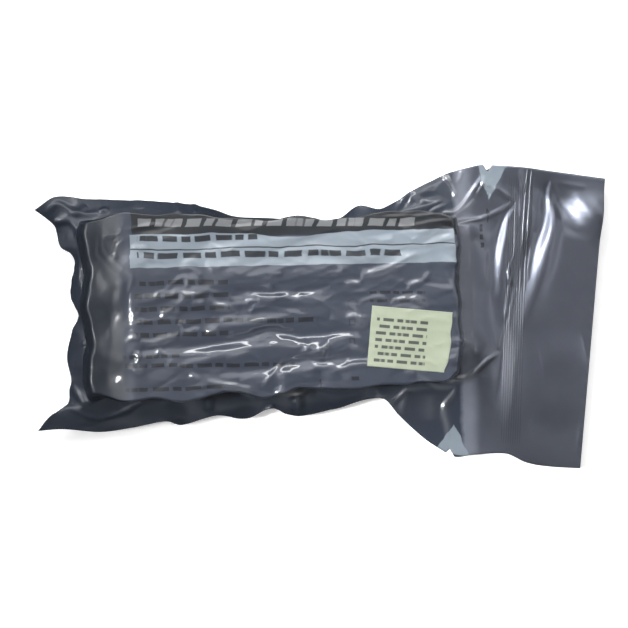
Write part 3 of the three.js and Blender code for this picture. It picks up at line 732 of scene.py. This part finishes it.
def plainer(grid, step):
    # the same face through every few points alone, at all points of the fine grid
    for axis in (0, 1):
        places = np.arange(grid.shape[axis])
        low = np.minimum(places // step * step, grid.shape[axis] - 1 - step)
        share = (places - low) / step
        share = share[:, None, None] if axis == 0 else share[None, :, None]
        grid = mix(np.take(grid, low, axis), np.take(grid, low + step, axis), share)
    return grid


def sheetSkin(outer, thickness, step=coarse):
    # the inner face is plainer and keeps under the deepest crease near each of its points
    normals = upward(outer)
    rise = ((outer - plainer(outer, step)) * normals).sum(2)
    deepest = np.minimum(deepestNear(rise, step), 0)
    inner = outer + normals * (deepest - thickness)[..., None]
    return closedSkin(outer, inner[::step, ::step], step)


def addObject(name, data):
    thing = bpy.data.objects.new(name, data)
    bpy.context.scene.collection.objects.link(thing)
    return thing


def makeMesh(name, skin, material, plan=None, attributes=()):
    verts, quads, tris = skin
    verts = verts + np.array([*pouch["origin"], 0])
    mesh = bpy.data.meshes.new(name)
    loops = np.concatenate([quads.reshape(-1), tris.reshape(-1)]).astype(np.int32)
    starts = np.concatenate([np.arange(len(quads)) * 4, quads.size + np.arange(len(tris)) * 3])
    mesh.vertices.add(len(verts))
    mesh.vertices.foreach_set("co", (verts / 1000).astype(np.float32).reshape(-1))
    mesh.loops.add(len(loops))
    mesh.loops.foreach_set("vertex_index", loops)
    mesh.polygons.add(len(starts))
    mesh.polygons.foreach_set("loop_start", starts.astype(np.int32))
    mesh.update(calc_edges=True)
    if plan is not None:
        layer = mesh.uv_layers.new(name="filmPlan")
        layer.data.foreach_set("uv", plan[loops].astype(np.float32).reshape(-1))
    for label, values in attributes:
        layer = mesh.attributes.new(label, "FLOAT", "POINT")
        layer.data.foreach_set("value", values.astype(np.float32))
    mesh.shade_smooth()
    mesh.materials.append(material)
    print(name, 2 * len(quads) + len(tris), "triangles")
    return addObject(name, mesh)


def perVertex(values):
    # one row for each point of the fine face, then for each of the plainer one
    faces = (values, values[::coarse, ::coarse])
    return np.concatenate([face.reshape(-1, *values.shape[2:]) for face in faces])


# The pieces' own maps, in millimetres to the unit and from its corner to the hollow's middle
filmMap = {"unit": 300, "shift": 120}
labelMapUnit = 100


def onMap(x, y):
    return (np.stack([x, y], -1) + filmMap["shift"]) / filmMap["unit"]


class Value:
    # a node's output in a formula, where each sign makes one Math node
    def __init__(self, socket):
        self.socket, self.tree = socket, socket.id_data

    def __add__(self, other):
        return mathNode("ADD", self, other)

    def __sub__(self, other):
        return mathNode("SUBTRACT", self, other)

    def __rsub__(self, other):
        return mathNode("SUBTRACT", other, self)

    def __mul__(self, other):
        return mathNode("MULTIPLY", self, other)

    def __truediv__(self, other):
        return mathNode("DIVIDE", self, other)

    def clamped(self):
        # kept between 0 and 1
        self.socket.node.use_clamp = True
        return self


def feed(socket, value):
    # a link from another node's output, or a plain setting
    value = value.socket if isinstance(value, Value) else value
    if isinstance(value, bpy.types.NodeSocket):
        socket.id_data.links.new(value, socket)
    elif isinstance(value, tuple) and len(value) == 3 and len(socket.default_value) == 4:
        socket.default_value = (*value, 1)
    else:
        socket.default_value = value


def feedAll(inputs, values):
    for label, value in values.items():
        feed(inputs[label], value)


def mathNode(operation, *values):
    node = treeOf(values).nodes.new("ShaderNodeMath")
    node.operation = operation
    for socket, value in zip(node.inputs, values):
        feed(socket, value)
    return Value(node.outputs[0])


def treeOf(values):
    return next(value.tree for value in values if isinstance(value, Value))


def least(*values):
    return reduce(lambda a, b: mathNode("MINIMUM", a, b), values)


def most(*values):
    return reduce(lambda a, b: mathNode("MAXIMUM", a, b), values)


def softStep(far, soft):
    # 0 outside and 1 inside, over a soft edge
    return (far / soft + 0.5).clamped()


def mixed(factor, a, b, colours=True):
    node = factor.tree.nodes.new("ShaderNodeMix")
    node.data_type = "RGBA" if colours else "FLOAT"
    first = 6 if colours else 2
    for socket, value in zip((node.inputs[0], *node.inputs[first: first + 2]), (factor, a, b)):
        feed(socket, value)
    return Value(node.outputs[2 if colours else 0])


def noise(vector, scale, detail=2, rough=0.5):
    node = vector.tree.nodes.new("ShaderNodeTexNoise")
    feedAll(node.inputs, {"Vector": vector, "Scale": scale, "Detail": detail, "Roughness": rough})
    return Value(node.outputs[0])


def bumpFrom(height, strength):
    node = height.tree.nodes.new("ShaderNodeBump")
    feedAll(node.inputs, {"Height": height, "Strength": strength, "Distance": 0.0002})
    return Value(node.outputs[0])


def newMaterial(name):
    material = bpy.data.materials.new(name)
    material.use_nodes = True
    tree = material.node_tree
    return material, tree, tree.nodes["Principled BSDF"]


number = "NodeSocketFloat"


def newGroup(name, outputs, **inputs):
    # a node group whose inputs are numbers with a usual value, or a vector without one
    tree = bpy.data.node_groups.new(name, "ShaderNodeTree")
    for label, value in inputs.items():
        kind = "NodeSocketVector" if value is None else number
        socket = tree.interface.new_socket(label, in_out="INPUT", socket_type=kind)
        if value is not None:
            socket.default_value = value
    for label in outputs:
        tree.interface.new_socket(label, in_out="OUTPUT", socket_type=number)
    into = tree.nodes.new("NodeGroupInput").outputs
    out = tree.nodes.new("NodeGroupOutput").inputs
    return tree, [Value(into[label]) for label in inputs], out


def useGroup(group, **values):
    node = treeOf(values.values()).nodes.new("ShaderNodeGroup")
    node.node_tree = group
    feedAll(node.inputs, values)
    return {socket.name: Value(socket) for socket in node.outputs}


def printedBox():
    # a printed rectangle with soft ink edges, leaning by a slope
    tree, (x, y, left, right, low, high, slope, soft), out = newGroup(
        "printedBox", ["Mask"], X=0, Y=0, Left=0, Right=1, Low=0, High=1, Slope=0, Soft=0.25)
    level = y - x * slope
    nearest = least(x - left, right - x, level - low, high - level)
    feed(out[0], softStep(nearest, soft))
    return tree


def wordBars():
    # rows of short plain bars in place of lines of print
    tree, (x, y, top, pitch, bar, word, seed, soft), out = newGroup(
        "wordBars", ["Mask"], X=0, Y=0, Top=0, Pitch=5, Bar=1.4, Word=6, Seed=0, Soft=0.3)
    down = (top - y) / pitch
    row = mathNode("FLOOR", down) + seed
    offCentre = mathNode("ABSOLUTE", mathNode("FRACT", down) - 0.5)
    inRow = softStep(bar * 0.5 - offCentre * pitch, soft)
    rise = 0.55  # the share of a row that is printed
    for turn, shift in ((4.1, 1.7), (6.7, 2.9)):
        rise = mathNode("SINE", x / word * turn + row * shift) * 0.5 + rise
    inWord = (rise * (word / 1.4)).clamped()
    feed(out[0], inRow * inWord)
    return tree


# Scale, detail and roughness of the noise in every surface here, and its shares of the bump
wearSizes = {"cloud": (45, 4, 0.55), "fine": (480, 3, 0.6), "finest": (1500, 2, 0.5),
             "fineShare": 0.7, "finestShare": 0.3}


def filmWear():
    # cloudy tone, fine scuffs and the small unevenness that every surface has
    tree, (vector,), out = newGroup("filmWear", ["Tone", "Scuff", "Height"], Vector=None)
    size = wearSizes
    cloud, fine, finest = (noise(vector, *size[name]) for name in ("cloud", "fine", "finest"))
    height = fine * size["fineShare"] + finest * size["finestShare"]
    feedAll(out, {"Tone": cloud, "Scuff": fine * cloud, "Height": height})
    return tree


boxGroup, wordGroup, wearGroup = printedBox(), wordBars(), filmWear()


def wornBy(tree):
    place = tree.nodes.new("ShaderNodeTexCoord").outputs["Object"]
    return useGroup(wearGroup, Vector=Value(place))


def mapPlace(tree, unit, shift=0):
    # a piece's own map in millimetres
    uv = tree.nodes.new("ShaderNodeUVMap")
    uv.uv_map = "filmPlan"
    split = tree.nodes.new("ShaderNodeSeparateXYZ")
    feed(split.inputs[0], uv.outputs[0])
    return [Value(split.outputs[k]) * unit - shift for k in (0, 1)]


def attribute(tree, name):
    node = tree.nodes.new("ShaderNodeAttribute")
    node.attribute_name = name
    return Value(node.outputs["Fac"])


def triangleMask(x, y, corners):
    # 1 inside three corners given anticlockwise
    sides = []
    for (x0, y0), (x1, y1) in zip(corners, corners[1:] + corners[:1]):
        length = math.hypot(x1 - x0, y1 - y0)
        a, b = -(y1 - y0) / length, (x1 - x0) / length
        sides.append(x * a + y * b - (a * x0 + b * y0))
    return softStep(least(*sides), 0.3)


# How the print is drawn out of line along and across: scale of the noise, and its reach
askew = ((0.16, 2.2), (0.07, 2.4))


def drawnAskew(x, y):
    # the print follows the film, which is drawn a little out of line
    flat = x.tree.nodes.new("ShaderNodeCombineXYZ")
    feedAll(flat.inputs, {"X": x, "Y": y})
    flat = Value(flat.outputs[0])
    return [value + (noise(flat, scale) - 0.5) * reach
            for value, (scale, reach) in zip((x, y), askew)]


filmLook = {
    # panel against margin is partly print, partly painted sheen on the flat top and painted shade on the
    # sloping margins; the closed end is darker still
    "panel": (0.033, 0.040, 0.059),
    "end": (0.007, 0.010, 0.016),
    "tail": (0.140, 0.151, 0.184),
    "margin": (0.018, 0.024, 0.037),
    "band": (0.006, 0.007, 0.008),
    "paleBand": (0.21, 0.248, 0.286),
    "ink": (0.006, 0.007, 0.009),
    "paleInk": (0.17, 0.175, 0.18),
    # pale grey of the painted highlight along the crisp creases
    "paintedCreaseHighlight": (0.15, 0.16, 0.18),
    "clouds": 0.4,  # how far the cloudy tone goes towards the margin's colour
    "creaseHighlightShare": 0.3,
    "metallic": 0.15,
    "tailMetallic": 0.9,
    "roughness": 0.38,
    "tailRoughness": 0.35,
    "scuffs": 0.2,
    "tailCoat": 0.1,
    "marginCoat": 0.12,
    "endCoat": 0.12,
    "packCoat": 1.0,
    "cornerCoat": 0.6,
    "cornerEdge": 4,  # how softly the gloss of the crumpled corners ends, in millimetres
    "atop": 0.75,  # print begins at this fullness, off the pack's steep walls
    "coatRoughness": 0.11,
    "coatIor": 1.55,
    "specular": 0.4,
    "bump": 0.12,
}

# Where each zone of the film begins along the pouch, and how softly, in millimetres round the hollow
filmZones = {"panel": (-62, 4), "tail": (74, 2), "silver": (79.5, 4)}

# Film crumpled at the pack's two corners beside the tail: left, right, low and high
glossyCorners = [(42, 78, 39, 60), (38, 72, -60, -38)]

# Printed rectangles: left, right, low, high, slope and colour, in millimetres round the hollow
printed = {
    "band": (-57.4, 73.8, 26.9, 38.4, -0.030, "band"),
    "paleBand": (-58.4, 72.6, 14.9, 28.3, -0.018, "paleBand"),
    "thinRule": (-58.4, 72.6, 22.0, 22.5, -0.016, "band"),
    "tick": (16.1, 16.6, -34.6, -31.4, 0.0, "ink"),
    "mark": (29.0, 31.8, -32.3, -30.9, 0.0, "ink"),
}
bandSag = {"middle": 8, "half": 15, "depth": 2.2}  # the pale band's top edge dips here

# Places for bars: left, right, low, high, slope, top, pitch, bar, word, seed and colour
barBlocks = {
    "title": (-54.5, 57.0, 30.0, 34.4, -0.034, 34.4, 4.4, 3.1, 4.4, 3, "paleInk"),
    "line": (-55.0, -7.0, 24.6, 28.0, -0.020, 28.2, 3.6, 2.2, 4.6, 1, "ink"),
    "longLine": (-55.5, 50.5, 17.6, 21.4, -0.024, 21.4, 3.8, 2.4, 5.4, 5, "ink"),
    "block": (-57.0, -19.0, -14.6, 11.4, -0.014, 11.4, 5.2, 1.9, 4.2, 2, "ink"),
    "wideRow": (-19.0, 16.5, -9.6, -4.4, -0.014, -4.4, 5.2, 1.9, 4.4, 2, "ink"),
    "notes": (-63.0, -40.0, -22.6, -18.6, -0.014, -18.6, 4.0, 1.5, 3.6, 6, "ink"),
    "longNote": (-62.0, 6.4, -27.0, -23.2, -0.030, -23.2, 3.8, 1.6, 4.0, 8, "ink"),
    "foot": (-62.0, -22.0, -34.6, -32.2, -0.010, -32.2, 2.4, 1.5, 4.6, 4, "ink"),
    "side": (37.4, 59.8, -1.2, 5.2, -0.030, 5.2, 3.2, 1.2, 3.2, 9, "ink"),
}
inkLook = {"titleLean": 0.35, "cover": 0.95, "signCover": 0.7, "tailCover": 0.8}

# Plain signs on the tail, in millimetres round the hollow
tailSigns = {
    "triangles": ([(83.7, 53.6), (87.7, 38.9), (96.4, 52.6)],
                  [(70.6, -52.6), (62.5, -63.0), (76.7, -66.5)]),
    "arrowHead": [(86.2, 33.0), (88.4, 33.0), (87.3, 35.6)],
    "arrowStem": (87.0, 87.6, 29.6, 34.0),
    "word": (83.4, 85.4, 19.2, 29.0),
    "wordBars": {"Bar": 1.3, "Word": 3.0, "Seed": 4},
}
icons = {"ring": (30.3, -1.9, 2.0, 0.28), "squares": ((30.1, -9.1, 2.7), (29.8, -16.8, 2.7)),
         "line": 0.5}


def iconMask(x, y, box):
    # plain signs in a column: a ring and two empty squares
    cx, cy, radius, line = icons["ring"]
    dx, dy = x - cx, y - cy
    off = mathNode("ABSOLUTE", mathNode("SQRT", dx * dx + dy * dy) - radius)
    total = ((line - off) * 4).clamped()
    for cx, cy, side in icons["squares"]:
        outer, inner = (box(cx - h, cx + h, cy - h, cy + h)
                        for h in (side / 2, side / 2 - icons["line"]))
        total = (total + (outer - inner)).clamped()
    return total * inkLook["signCover"]


def printedFilmMaterial():
    material, tree, shader = newMaterial("printed_film")
    look = filmLook
    x, y = drawnAskew(*mapPlace(tree, filmMap["unit"], filmMap["shift"]))
    packShare, creased = attribute(tree, "packShare"), attribute(tree, "creased")
    wear = wornBy(tree)

    def box(left, right, low, high, slope=0.0, soft=0.25):
        return useGroup(boxGroup, X=x, Y=y, Left=left, Right=right, Low=low, High=high,
                        Slope=slope, Soft=soft)["Mask"]

    def zone(name):
        start, soft = filmZones[name]
        return softStep(x - start, soft)

    onTail = zone("tail")
    onPack = packShare * (1 - onTail)
    onPanel = onPack * zone("panel")
    # by the fullness, the full top takes the lighter panel colour and the sealed film the darker margin
    # colour: partly print, partly painted sheen on the top and painted shade on the margins and walls
    colour = mixed(onPack, look["margin"], look["end"])
    colour = mixed(onPanel, colour, look["panel"])
    colour = mixed(onTail, colour, look["tail"])
    off = (x - bandSag["middle"]) / bandSag["half"]
    sag = mathNode("EXPONENT", off * off * -1) * bandSag["depth"]
    atop = ((packShare - look["atop"]) * 6).clamped()
    for name, (left, right, low, high, slope, ink) in printed.items():
        place = box(left, right, low, high - sag if name == "paleBand" else high, slope)
        colour = mixed(place * atop if name == "band" else place, colour, look[ink])
    colour = mixed(iconMask(x, y, box), colour, look["ink"])
    for left, right, low, high, slope, top, pitch, bar, word, seed, ink in barBlocks.values():
        leaning = x - y * inkLook["titleLean"] if ink == "paleInk" else x
        bars = useGroup(wordGroup, X=leaning, Y=y - x * slope, Top=top, Pitch=pitch, Bar=bar,
                        Word=word, Seed=seed)["Mask"]
        bars = bars * box(left, right, low, high, slope) * atop * inkLook["cover"]
        colour = mixed(bars, colour, look[ink])
    pale = most(*(triangleMask(x, y, corners) for corners in tailSigns["triangles"]))
    colour = mixed(pale, colour, look["paleBand"])
    head = triangleMask(x, y, tailSigns["arrowHead"])
    left, right, low, high = tailSigns["word"]
    word = useGroup(wordGroup, X=y, Y=x, Top=right, Pitch=right - left,
                    **tailSigns["wordBars"])["Mask"]
    stem = box(*tailSigns["arrowStem"])
    inked = most(head, stem, word * box(left, right, low, high)) * inkLook["tailCover"]
    colour = mixed(inked, colour, look["ink"])
    colour = mixed(wear["Tone"] * look["clouds"], colour, look["margin"])
    # painted highlight: the film along crisp creases, ridges and valleys alike, is lightened towards a
    # pale grey whatever the lamps
    colour = mixed((creased * look["creaseHighlightShare"]).clamped(), colour, look["paintedCreaseHighlight"])
    rough = mixed(onTail, look["roughness"], look["tailRoughness"], False)
    bare = (zone("silver") - most(pale, inked)).clamped()
    gloss = mixed(onPanel, look["endCoat"], look["packCoat"], False)
    gloss = mixed(packShare, look["marginCoat"], gloss, False)
    gloss = mixed(onTail, gloss, look["tailCoat"], False)
    corners = most(*(box(*place, soft=look["cornerEdge"]) for place in glossyCorners))
    feedAll(shader.inputs, {
        "Base Color": colour,
        "Roughness": rough + wear["Scuff"] * look["scuffs"],
        "Metallic": mixed(bare, look["metallic"], look["tailMetallic"], False),
        "Specular IOR Level": look["specular"],
        "Coat Weight": (most(gloss, corners * look["cornerCoat"]) + creased).clamped(),
        "Coat Roughness": look["coatRoughness"],
        "Coat IOR": look["coatIor"],
        "Normal": bumpFrom(wear["Height"], look["bump"]),
    })
    return material


plainLook = {"scuffs": 0.2, "coatRoughness": 0.12, "bump": 0.2}  # shared by the plain surfaces


def plainMaterial(name, look):
    material, tree, shader = newMaterial(name)
    wear = wornBy(tree)
    darker = tuple(c * look["shade"] for c in look["colour"])
    feedAll(shader.inputs, {
        "Base Color": mixed(wear["Tone"], look["colour"], darker),
        "Roughness": wear["Scuff"] * plainLook["scuffs"] + look["roughness"],
        "Metallic": look["metallic"],
        "Coat Weight": look["coat"],
        "Coat Roughness": plainLook["coatRoughness"],
        "Normal": bumpFrom(wear["Height"], plainLook["bump"]),
    })
    return material


backLook = {"colour": (0.045, 0.048, 0.060), "shade": 0.7, "roughness": 0.38, "metallic": 0.3,
            "coat": 0.8}
clothLook = {"colour": (0.72, 0.70, 0.62), "shade": 0.85, "roughness": 0.85, "metallic": 0.0,
             "coat": 0.0}
labelLook = {
    "colour": (0.25, 0.278, 0.205),
    "ink": (0.035, 0.04, 0.035),
    "shade": 0.82,
    "clouds": 0.5,
    "roughness": 0.5,
    "scuffs": 0.2,
    "bump": 0.25,
    "bars": {"Top": 20.6, "Pitch": 2.75, "Bar": 1.25, "Word": 3.2, "Seed": 3, "Soft": 0.25},
    "place": {"Left": 2.4, "Right": 23.0, "Low": 1.4, "High": 20.6, "Soft": 0.3},
}


def labelMaterial():
    material, tree, shader = newMaterial("label_paper")
    look = labelLook
    u, v = mapPlace(tree, labelMapUnit)
    wear = wornBy(tree)
    darker = tuple(c * look["shade"] for c in look["colour"])
    colour = mixed(wear["Tone"] * look["clouds"], look["colour"], darker)
    bars = useGroup(wordGroup, X=u, Y=v, **look["bars"])["Mask"]
    place = useGroup(boxGroup, X=u, Y=v, **look["place"])["Mask"]
    feedAll(shader.inputs, {
        "Base Color": mixed(bars * place, colour, look["ink"]),
        "Roughness": wear["Scuff"] * look["scuffs"] + look["roughness"],
        "Normal": bumpFrom(wear["Height"], look["bump"]),
    })
    return material


def dressed(piece, node):
    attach(piece, "root")
    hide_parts(node)


# Front film: cells before, along and beyond the pack, and how far they crowd to its walls
filmCells = {"columns": (26, 250, 126, 0.25), "rows": (38, 128, 32, 0.6)}
columns, rows = gridLines(*filmCells["columns"]), gridLines(*filmCells["rows"])
x, y, full, front, back = filmGrids(columns, rows)
# how near each point is to a crisp crease: it sets the coat's gloss and the painted highlight along the
# creases
crisp = creaseHeights(x, y, packCreases + tailCreases, reliefSizes["crisp"])
creased = np.abs(crisp) / 0.9  # 1 on a crease 0.9 mm high
frontFilm = makeMesh("front_film_skin", sheetSkin(front, pouch["filmThickness"]),
                     printedFilmMaterial(), perVertex(onMap(x, y)),
                     (("packShare", perVertex(full)), ("creased", perVertex(creased))))
dressed(frontFilm, "front_film")

# Back film
backFilm = makeMesh("back_film_skin", sheetSkin(back[:, ::-1], pouch["filmThickness"], 1),
                    plainMaterial("back_film", backLook))
dressed(backFilm, "back_film")

# Folded dressing
dressingSizes = {
    "full": 0.9,  # fullness of the film at its edge
    "core": 0.35,  # of the width on each side of the axis has to be this full
    "along": 0.96,  # its spread inside the film
    "across": 0.88,
    "below": 1.6,  # under the front film, in millimetres
    "above": 1.0,  # over the back film
}


def dressingSkin():
    # fills the hollow under the deepest creases of the front film
    size = dressingSizes
    inner = (rows[0] == 1) & (abs(rows[1] - 0.5) < size["core"])
    c = np.nonzero((full[:, inner].min(1) > size["full"]) & (columns[0] == 1))[0]
    r = np.nonzero((full[c].min(0) > size["full"]) & (rows[0] == 1))[0]
    c, r = (k[: (len(k) - 1) // coarse * coarse + 1: coarse] for k in (c, r))
    top = front.copy()
    top[..., 0] *= size["along"]
    top[..., 1] *= size["across"]  # the film leans out over the pack's long sides
    top[..., 2] = deepestNear(front[..., 2], coarse) - pouch["filmThickness"] - size["below"]
    top = top[np.ix_(c, r)]
    bottom = top.copy()
    level = pouch["seamHeight"] * (1 - full[np.ix_(c, r)]) + pouch["filmThickness"]
    bottom[..., 2] = level + size["above"]
    return closedSkin(top, bottom, 1)


dressing = makeMesh("dressing_bundle", dressingSkin(), plainMaterial("dressing_cloth", clothLook))
dressed(dressing, "folded_dressing")

# Label
labelSizes = {
    "length": 32.6,
    "width": 24.4,
    "turn": -7.0,
    "centre": (53.0, -16.8),
    "lift": 0.10,
    "thickness": 0.12,
    "cells": (96, 72),
    "rounds": 14,  # how far the paper bridges the small creases
    "ripple": (0.45, 51, 16),  # height, seed and longest wave of the end towards the tail
    "tailEnd": (0.42, 0.5),  # where along its length the ripple grows, from its middle
    "cutCorner": 1.6,
    "cornerReach": (0.3, 0.5),
}


def labelSheet():
    # paper laid over the film: it bridges the small creases and bends over the shoulder
    size = labelSizes
    film = BVHTree.FromPolygons(front.reshape(-1, 3).tolist(), gridQuads(*full.shape).tolist())
    u, v = np.meshgrid(*(np.linspace(-0.5, 0.5, cells + 1) for cells in size["cells"]),
                       indexing="ij")
    turn = math.radians(size["turn"])
    height, *wave = size["ripple"]
    ripple = height * waves(v * size["width"], *wave) * smoothStep(u, *size["tailEnd"])
    px, py = u * size["length"] + ripple, v * size["width"]
    reach = size["cornerReach"]
    px -= size["cutCorner"] * smoothStep(-v, *reach) * smoothStep(u, *reach)
    lx = size["centre"][0] + px * math.cos(turn) - py * math.sin(turn)
    ly = size["centre"][1] + px * math.sin(turn) + py * math.cos(turn)
    z = np.zeros_like(lx)
    for k in np.ndindex(lx.shape):
        hit = film.ray_cast(Vector((lx[k], ly[k], 60)), Vector((0, 0, -1)))[0]
        z[k] = hit.z if hit else 0
    smooth = z.copy()
    for _ in range(size["rounds"]):
        wide = np.pad(smooth, 1, mode="edge")
        smooth = (wide[:-2, 1:-1] + wide[2:, 1:-1] + wide[1:-1, :-2] + wide[1:-1, 2:]) / 4
        smooth = np.maximum(smooth, z)
    surface = np.stack([lx, ly, smooth + size["lift"] + size["thickness"]], -1)
    plan = np.stack([(u + 0.5) * size["length"], (v + 0.5) * size["width"]], -1) / labelMapUnit
    return sheetSkin(surface, size["thickness"]), perVertex(plan)


labelSkin, labelPlan = labelSheet()
label = makeMesh("label_sheet", labelSkin, labelMaterial(), labelPlan)
dressed(label, "label")

# Heat seal: fine ribs across the tail's root and two beads beside them
seals = {
    "seal_ribs": {"start": (97.0, 49.5), "end": (89.4, -64.0), "count": 9, "pitch": 0.95,
                  "radius": 0.33, "flatness": 0.3, "sunk": 0.04},
    "seal_beads": {"start": (104.6, 51.0), "end": (99.6, 0.0), "count": 2, "pitch": 1.9,
                   "radius": 1.0, "flatness": 0.36, "sunk": 0.06},
}
ribDetail = {"along": 150, "around": 12, "taper": 0.35}  # points, and how slowly the ends thin
rayStart = 0.06  # metres over the floor, where the rays that lay the ribs start
ribLook = {"colour": (0.095, 0.102, 0.122), "shade": 0.85, "roughness": 0.30, "metallic": 0.9,
           "coat": 0.2}


def ribTree():
    # lines side by side, laid on the film by a ray from above and made into low round ribs
    tree = bpy.data.node_groups.new("ribsOnFilm", "GeometryNodeTree")
    kinds = {"Film": "Object", "Start": "Vector", "End": "Vector", "Count": "Int", "Pitch": "Float",
             "Radius": "Float", "Flatness": "Float", "Sunk": "Float", "Material": "Material"}
    for label, kind in kinds.items():
        tree.interface.new_socket(label, in_out="INPUT", socket_type="NodeSocket" + kind)
    tree.interface.new_socket("Geometry", in_out="OUTPUT", socket_type="NodeSocketGeometry")
    into = tree.nodes.new("NodeGroupInput").outputs

    def node(kind, **values):
        made = tree.nodes.new("GeometryNode" + kind)
        feedAll(made.inputs, {label.replace("_", " "): value for label, value in values.items()})
        return made

    def vector(**values):
        made = tree.nodes.new("ShaderNodeCombineXYZ")
        feedAll(made.inputs, values)
        return made.outputs[0]

    spots = node("MeshLine", Count=into["Count"], Offset=vector(X=into["Pitch"]))
    line = node("CurvePrimitiveLine", Start=into["Start"], End=into["End"])
    rows = node("InstanceOnPoints", Points=spots.outputs[0], Instance=line.outputs[0])
    lines = node("RealizeInstances", Geometry=rows.outputs[0])
    fine = node("ResampleCurve", Curve=lines.outputs[0], Count=ribDetail["along"])
    film = node("ObjectInfo", Object=into["Film"])
    ray = node("Raycast", Target_Geometry=film.outputs["Geometry"], Ray_Direction=(0, 0, -1),
               Ray_Length=0.2)
    laid = node("SetPosition", Geometry=fine.outputs[0], Position=ray.outputs["Hit Position"],
                Offset=vector(Z=Value(into["Sunk"]) * -1))
    place = Value(node("SplineParameter").outputs["Factor"])
    swell = least(mathNode("POWER", place * (1 - place) * 4, ribDetail["taper"]), 1)
    circle = node("CurvePrimitiveCircle", Resolution=ribDetail["around"], Radius=1.0)
    oval = node("Transform", Geometry=circle.outputs[0],
                Scale=vector(X=1.0, Y=into["Flatness"]))
    upright = node("SetCurveNormal", Curve=laid.outputs[0])
    upright.mode = "Z_UP"
    tube = node("CurveToMesh", Curve=upright.outputs[0], Profile_Curve=oval.outputs[0],
                Scale=swell * Value(into["Radius"]), Fill_Caps=True)
    smooth = node("SetShadeSmooth", Geometry=tube.outputs[0])
    real = node("RealizeInstances", Geometry=smooth.outputs[0])
    finish = node("SetMaterial", Geometry=real.outputs[0], Material=into["Material"])
    feed(tree.nodes.new("NodeGroupOutput").inputs[0], finish.outputs[0])
    return tree


def layRibs(name, size, tree, material):
    holder = addObject(name + "_lines", bpy.data.meshes.new(name))
    modifier = holder.modifiers.new("ribs", "NODES")
    modifier.node_group = tree
    start, end = (tuple((v + o) / 1000 for v, o in zip(size[side], pouch["origin"])) + (rayStart,)
                  for side in ("start", "end"))
    values = {"Film": frontFilm, "Start": start, "End": end, "Count": size["count"],
              "Pitch": size["pitch"] / 1000, "Radius": size["radius"] / 1000,
              "Flatness": size["flatness"], "Sunk": size["sunk"] / 1000, "Material": material}
    for item in tree.interface.items_tree:
        if item.in_out == "INPUT":
            modifier[item.identifier] = values[item.name]
    graph = bpy.context.evaluated_depsgraph_get()
    mesh = bpy.data.meshes.new_from_object(holder.evaluated_get(graph))
    bpy.data.objects.remove(holder)
    piece = addObject(name, mesh)
    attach(piece, "root")
    print(name, len(mesh.polygons), "faces")


ribGroup, ribMaterial = ribTree(), plainMaterial("seal_film", ribLook)
for name, size in seals.items():
    layRibs(name, size, ribGroup, ribMaterial)

# Stage
stage = {
    "floor": (0.95, 0.95, 0.95),
    "glow": 0.35,  # keeps the paper white beside the dark film
    "world": (0.06, 0.15),  # brightness of the surroundings at the horizon and overhead
    "overhead": 0.8,  # height of the sky where it reaches its full brightness
    "view": (-3.3, 4.7),  # the point of the floor under the middle of the view, in millimetres
    "roll": 2.15,
    "distance": 1.0,
    "width": 0.2603,  # of the floor that the view takes in, in metres
}

# Lights: size along and up, watts, place, the point it is aimed at, and the spread in degrees
lights = {
    "north_strip": ((1.5, 0.16), 13, (0.0, 0.95, 0.95), (0, 0, 0), 180),
    "high_box": ((0.9, 0.35), 1.6, (0.0, 0.5, 1.1), (0, 0, 0), 180),
    "east_strip": ((1.1, 0.1), 2.0, (0.85, 0.15, 0.9), (0, 0, 0), 180),
    "west_box": ((1.0, 0.36), 1.2, (-0.56, 0.06, 0.97), (0.15, 0.03, 0), 11),
    "streak_box": ((0.34, 0.3), 0.15, (-0.66, 0.48, 0.97), (0.1, 0.03, 0), 12),
    "corner_box": ((0.4, 0.3), 0.12, (-0.6, 0.65, 0.95), (0.08, 0.0, 0), 30),
    "low_east": ((1.0, 0.1), 2.0, (1.2, 0.0, 0.4), (0, 0, 0), 180),
    "west_strip": ((1.1, 0.1), 0.12, (-0.85, 0.2, 0.9), (0, 0, 0), 180),
    "south_strip": ((1.2, 0.06), 1, (0.0, -1.0, 0.8), (0, 0, 0), 180),
}


def addLight(name, size, power, place, aim, spread):
    data = bpy.data.lights.new(name, "AREA")
    data.shape = "RECTANGLE"
    data.size, data.size_y = size
    data.energy = power
    data.spread = math.radians(spread)
    lamp = addObject(name, data)
    lamp.location = place
    lamp.rotation_euler = (Vector(aim) - Vector(place)).to_track_quat("-Z", "Y").to_euler()


def addFloor():
    bpy.ops.mesh.primitive_plane_add(size=6.0, location=(0, 0, 0))
    floor = bpy.context.object
    floor.name = "floor"
    material, _, shader = newMaterial("floor_paper")
    feedAll(shader.inputs, {"Base Color": stage["floor"], "Roughness": 0.9,
                            "Emission Color": (1, 1, 1), "Emission Strength": stage["glow"]})
    floor.data.materials.append(material)
    floor.visible_glossy = False


def addWorld():
    # brighter overhead than at the horizon
    world = bpy.data.worlds.new("studio")
    world.use_nodes = True
    nodes = world.node_tree.nodes
    coords, split, rise = (nodes.new("ShaderNode" + kind)
                           for kind in ("TexCoord", "SeparateXYZ", "MapRange"))
    low, high = stage["world"]
    feed(split.inputs[0], coords.outputs["Generated"])
    feedAll(rise.inputs, {"Value": split.outputs[2], "From Min": 0.0, "From Max": stage["overhead"],
                          "To Min": low, "To Max": high})
    feedAll(nodes["Background"].inputs, {"Color": (1, 1, 1), "Strength": rise.outputs[0]})
    bpy.context.scene.world = world


def addCamera():
    data = bpy.data.cameras.new("view")
    data.sensor_width = 36
    data.lens = data.sensor_width * stage["distance"] / stage["width"]
    camera = addObject("view", data)
    camera.location = (stage["view"][0] / 1000, stage["view"][1] / 1000, stage["distance"])
    camera.rotation_euler = (0, 0, -math.radians(stage["roll"]))
    bpy.context.scene.camera = camera
    bpy.context.scene.view_settings.view_transform = "Standard"


addFloor()
addWorld()
for name, values in lights.items():
    addLight(name, *values)
addCamera()
print("stage set")
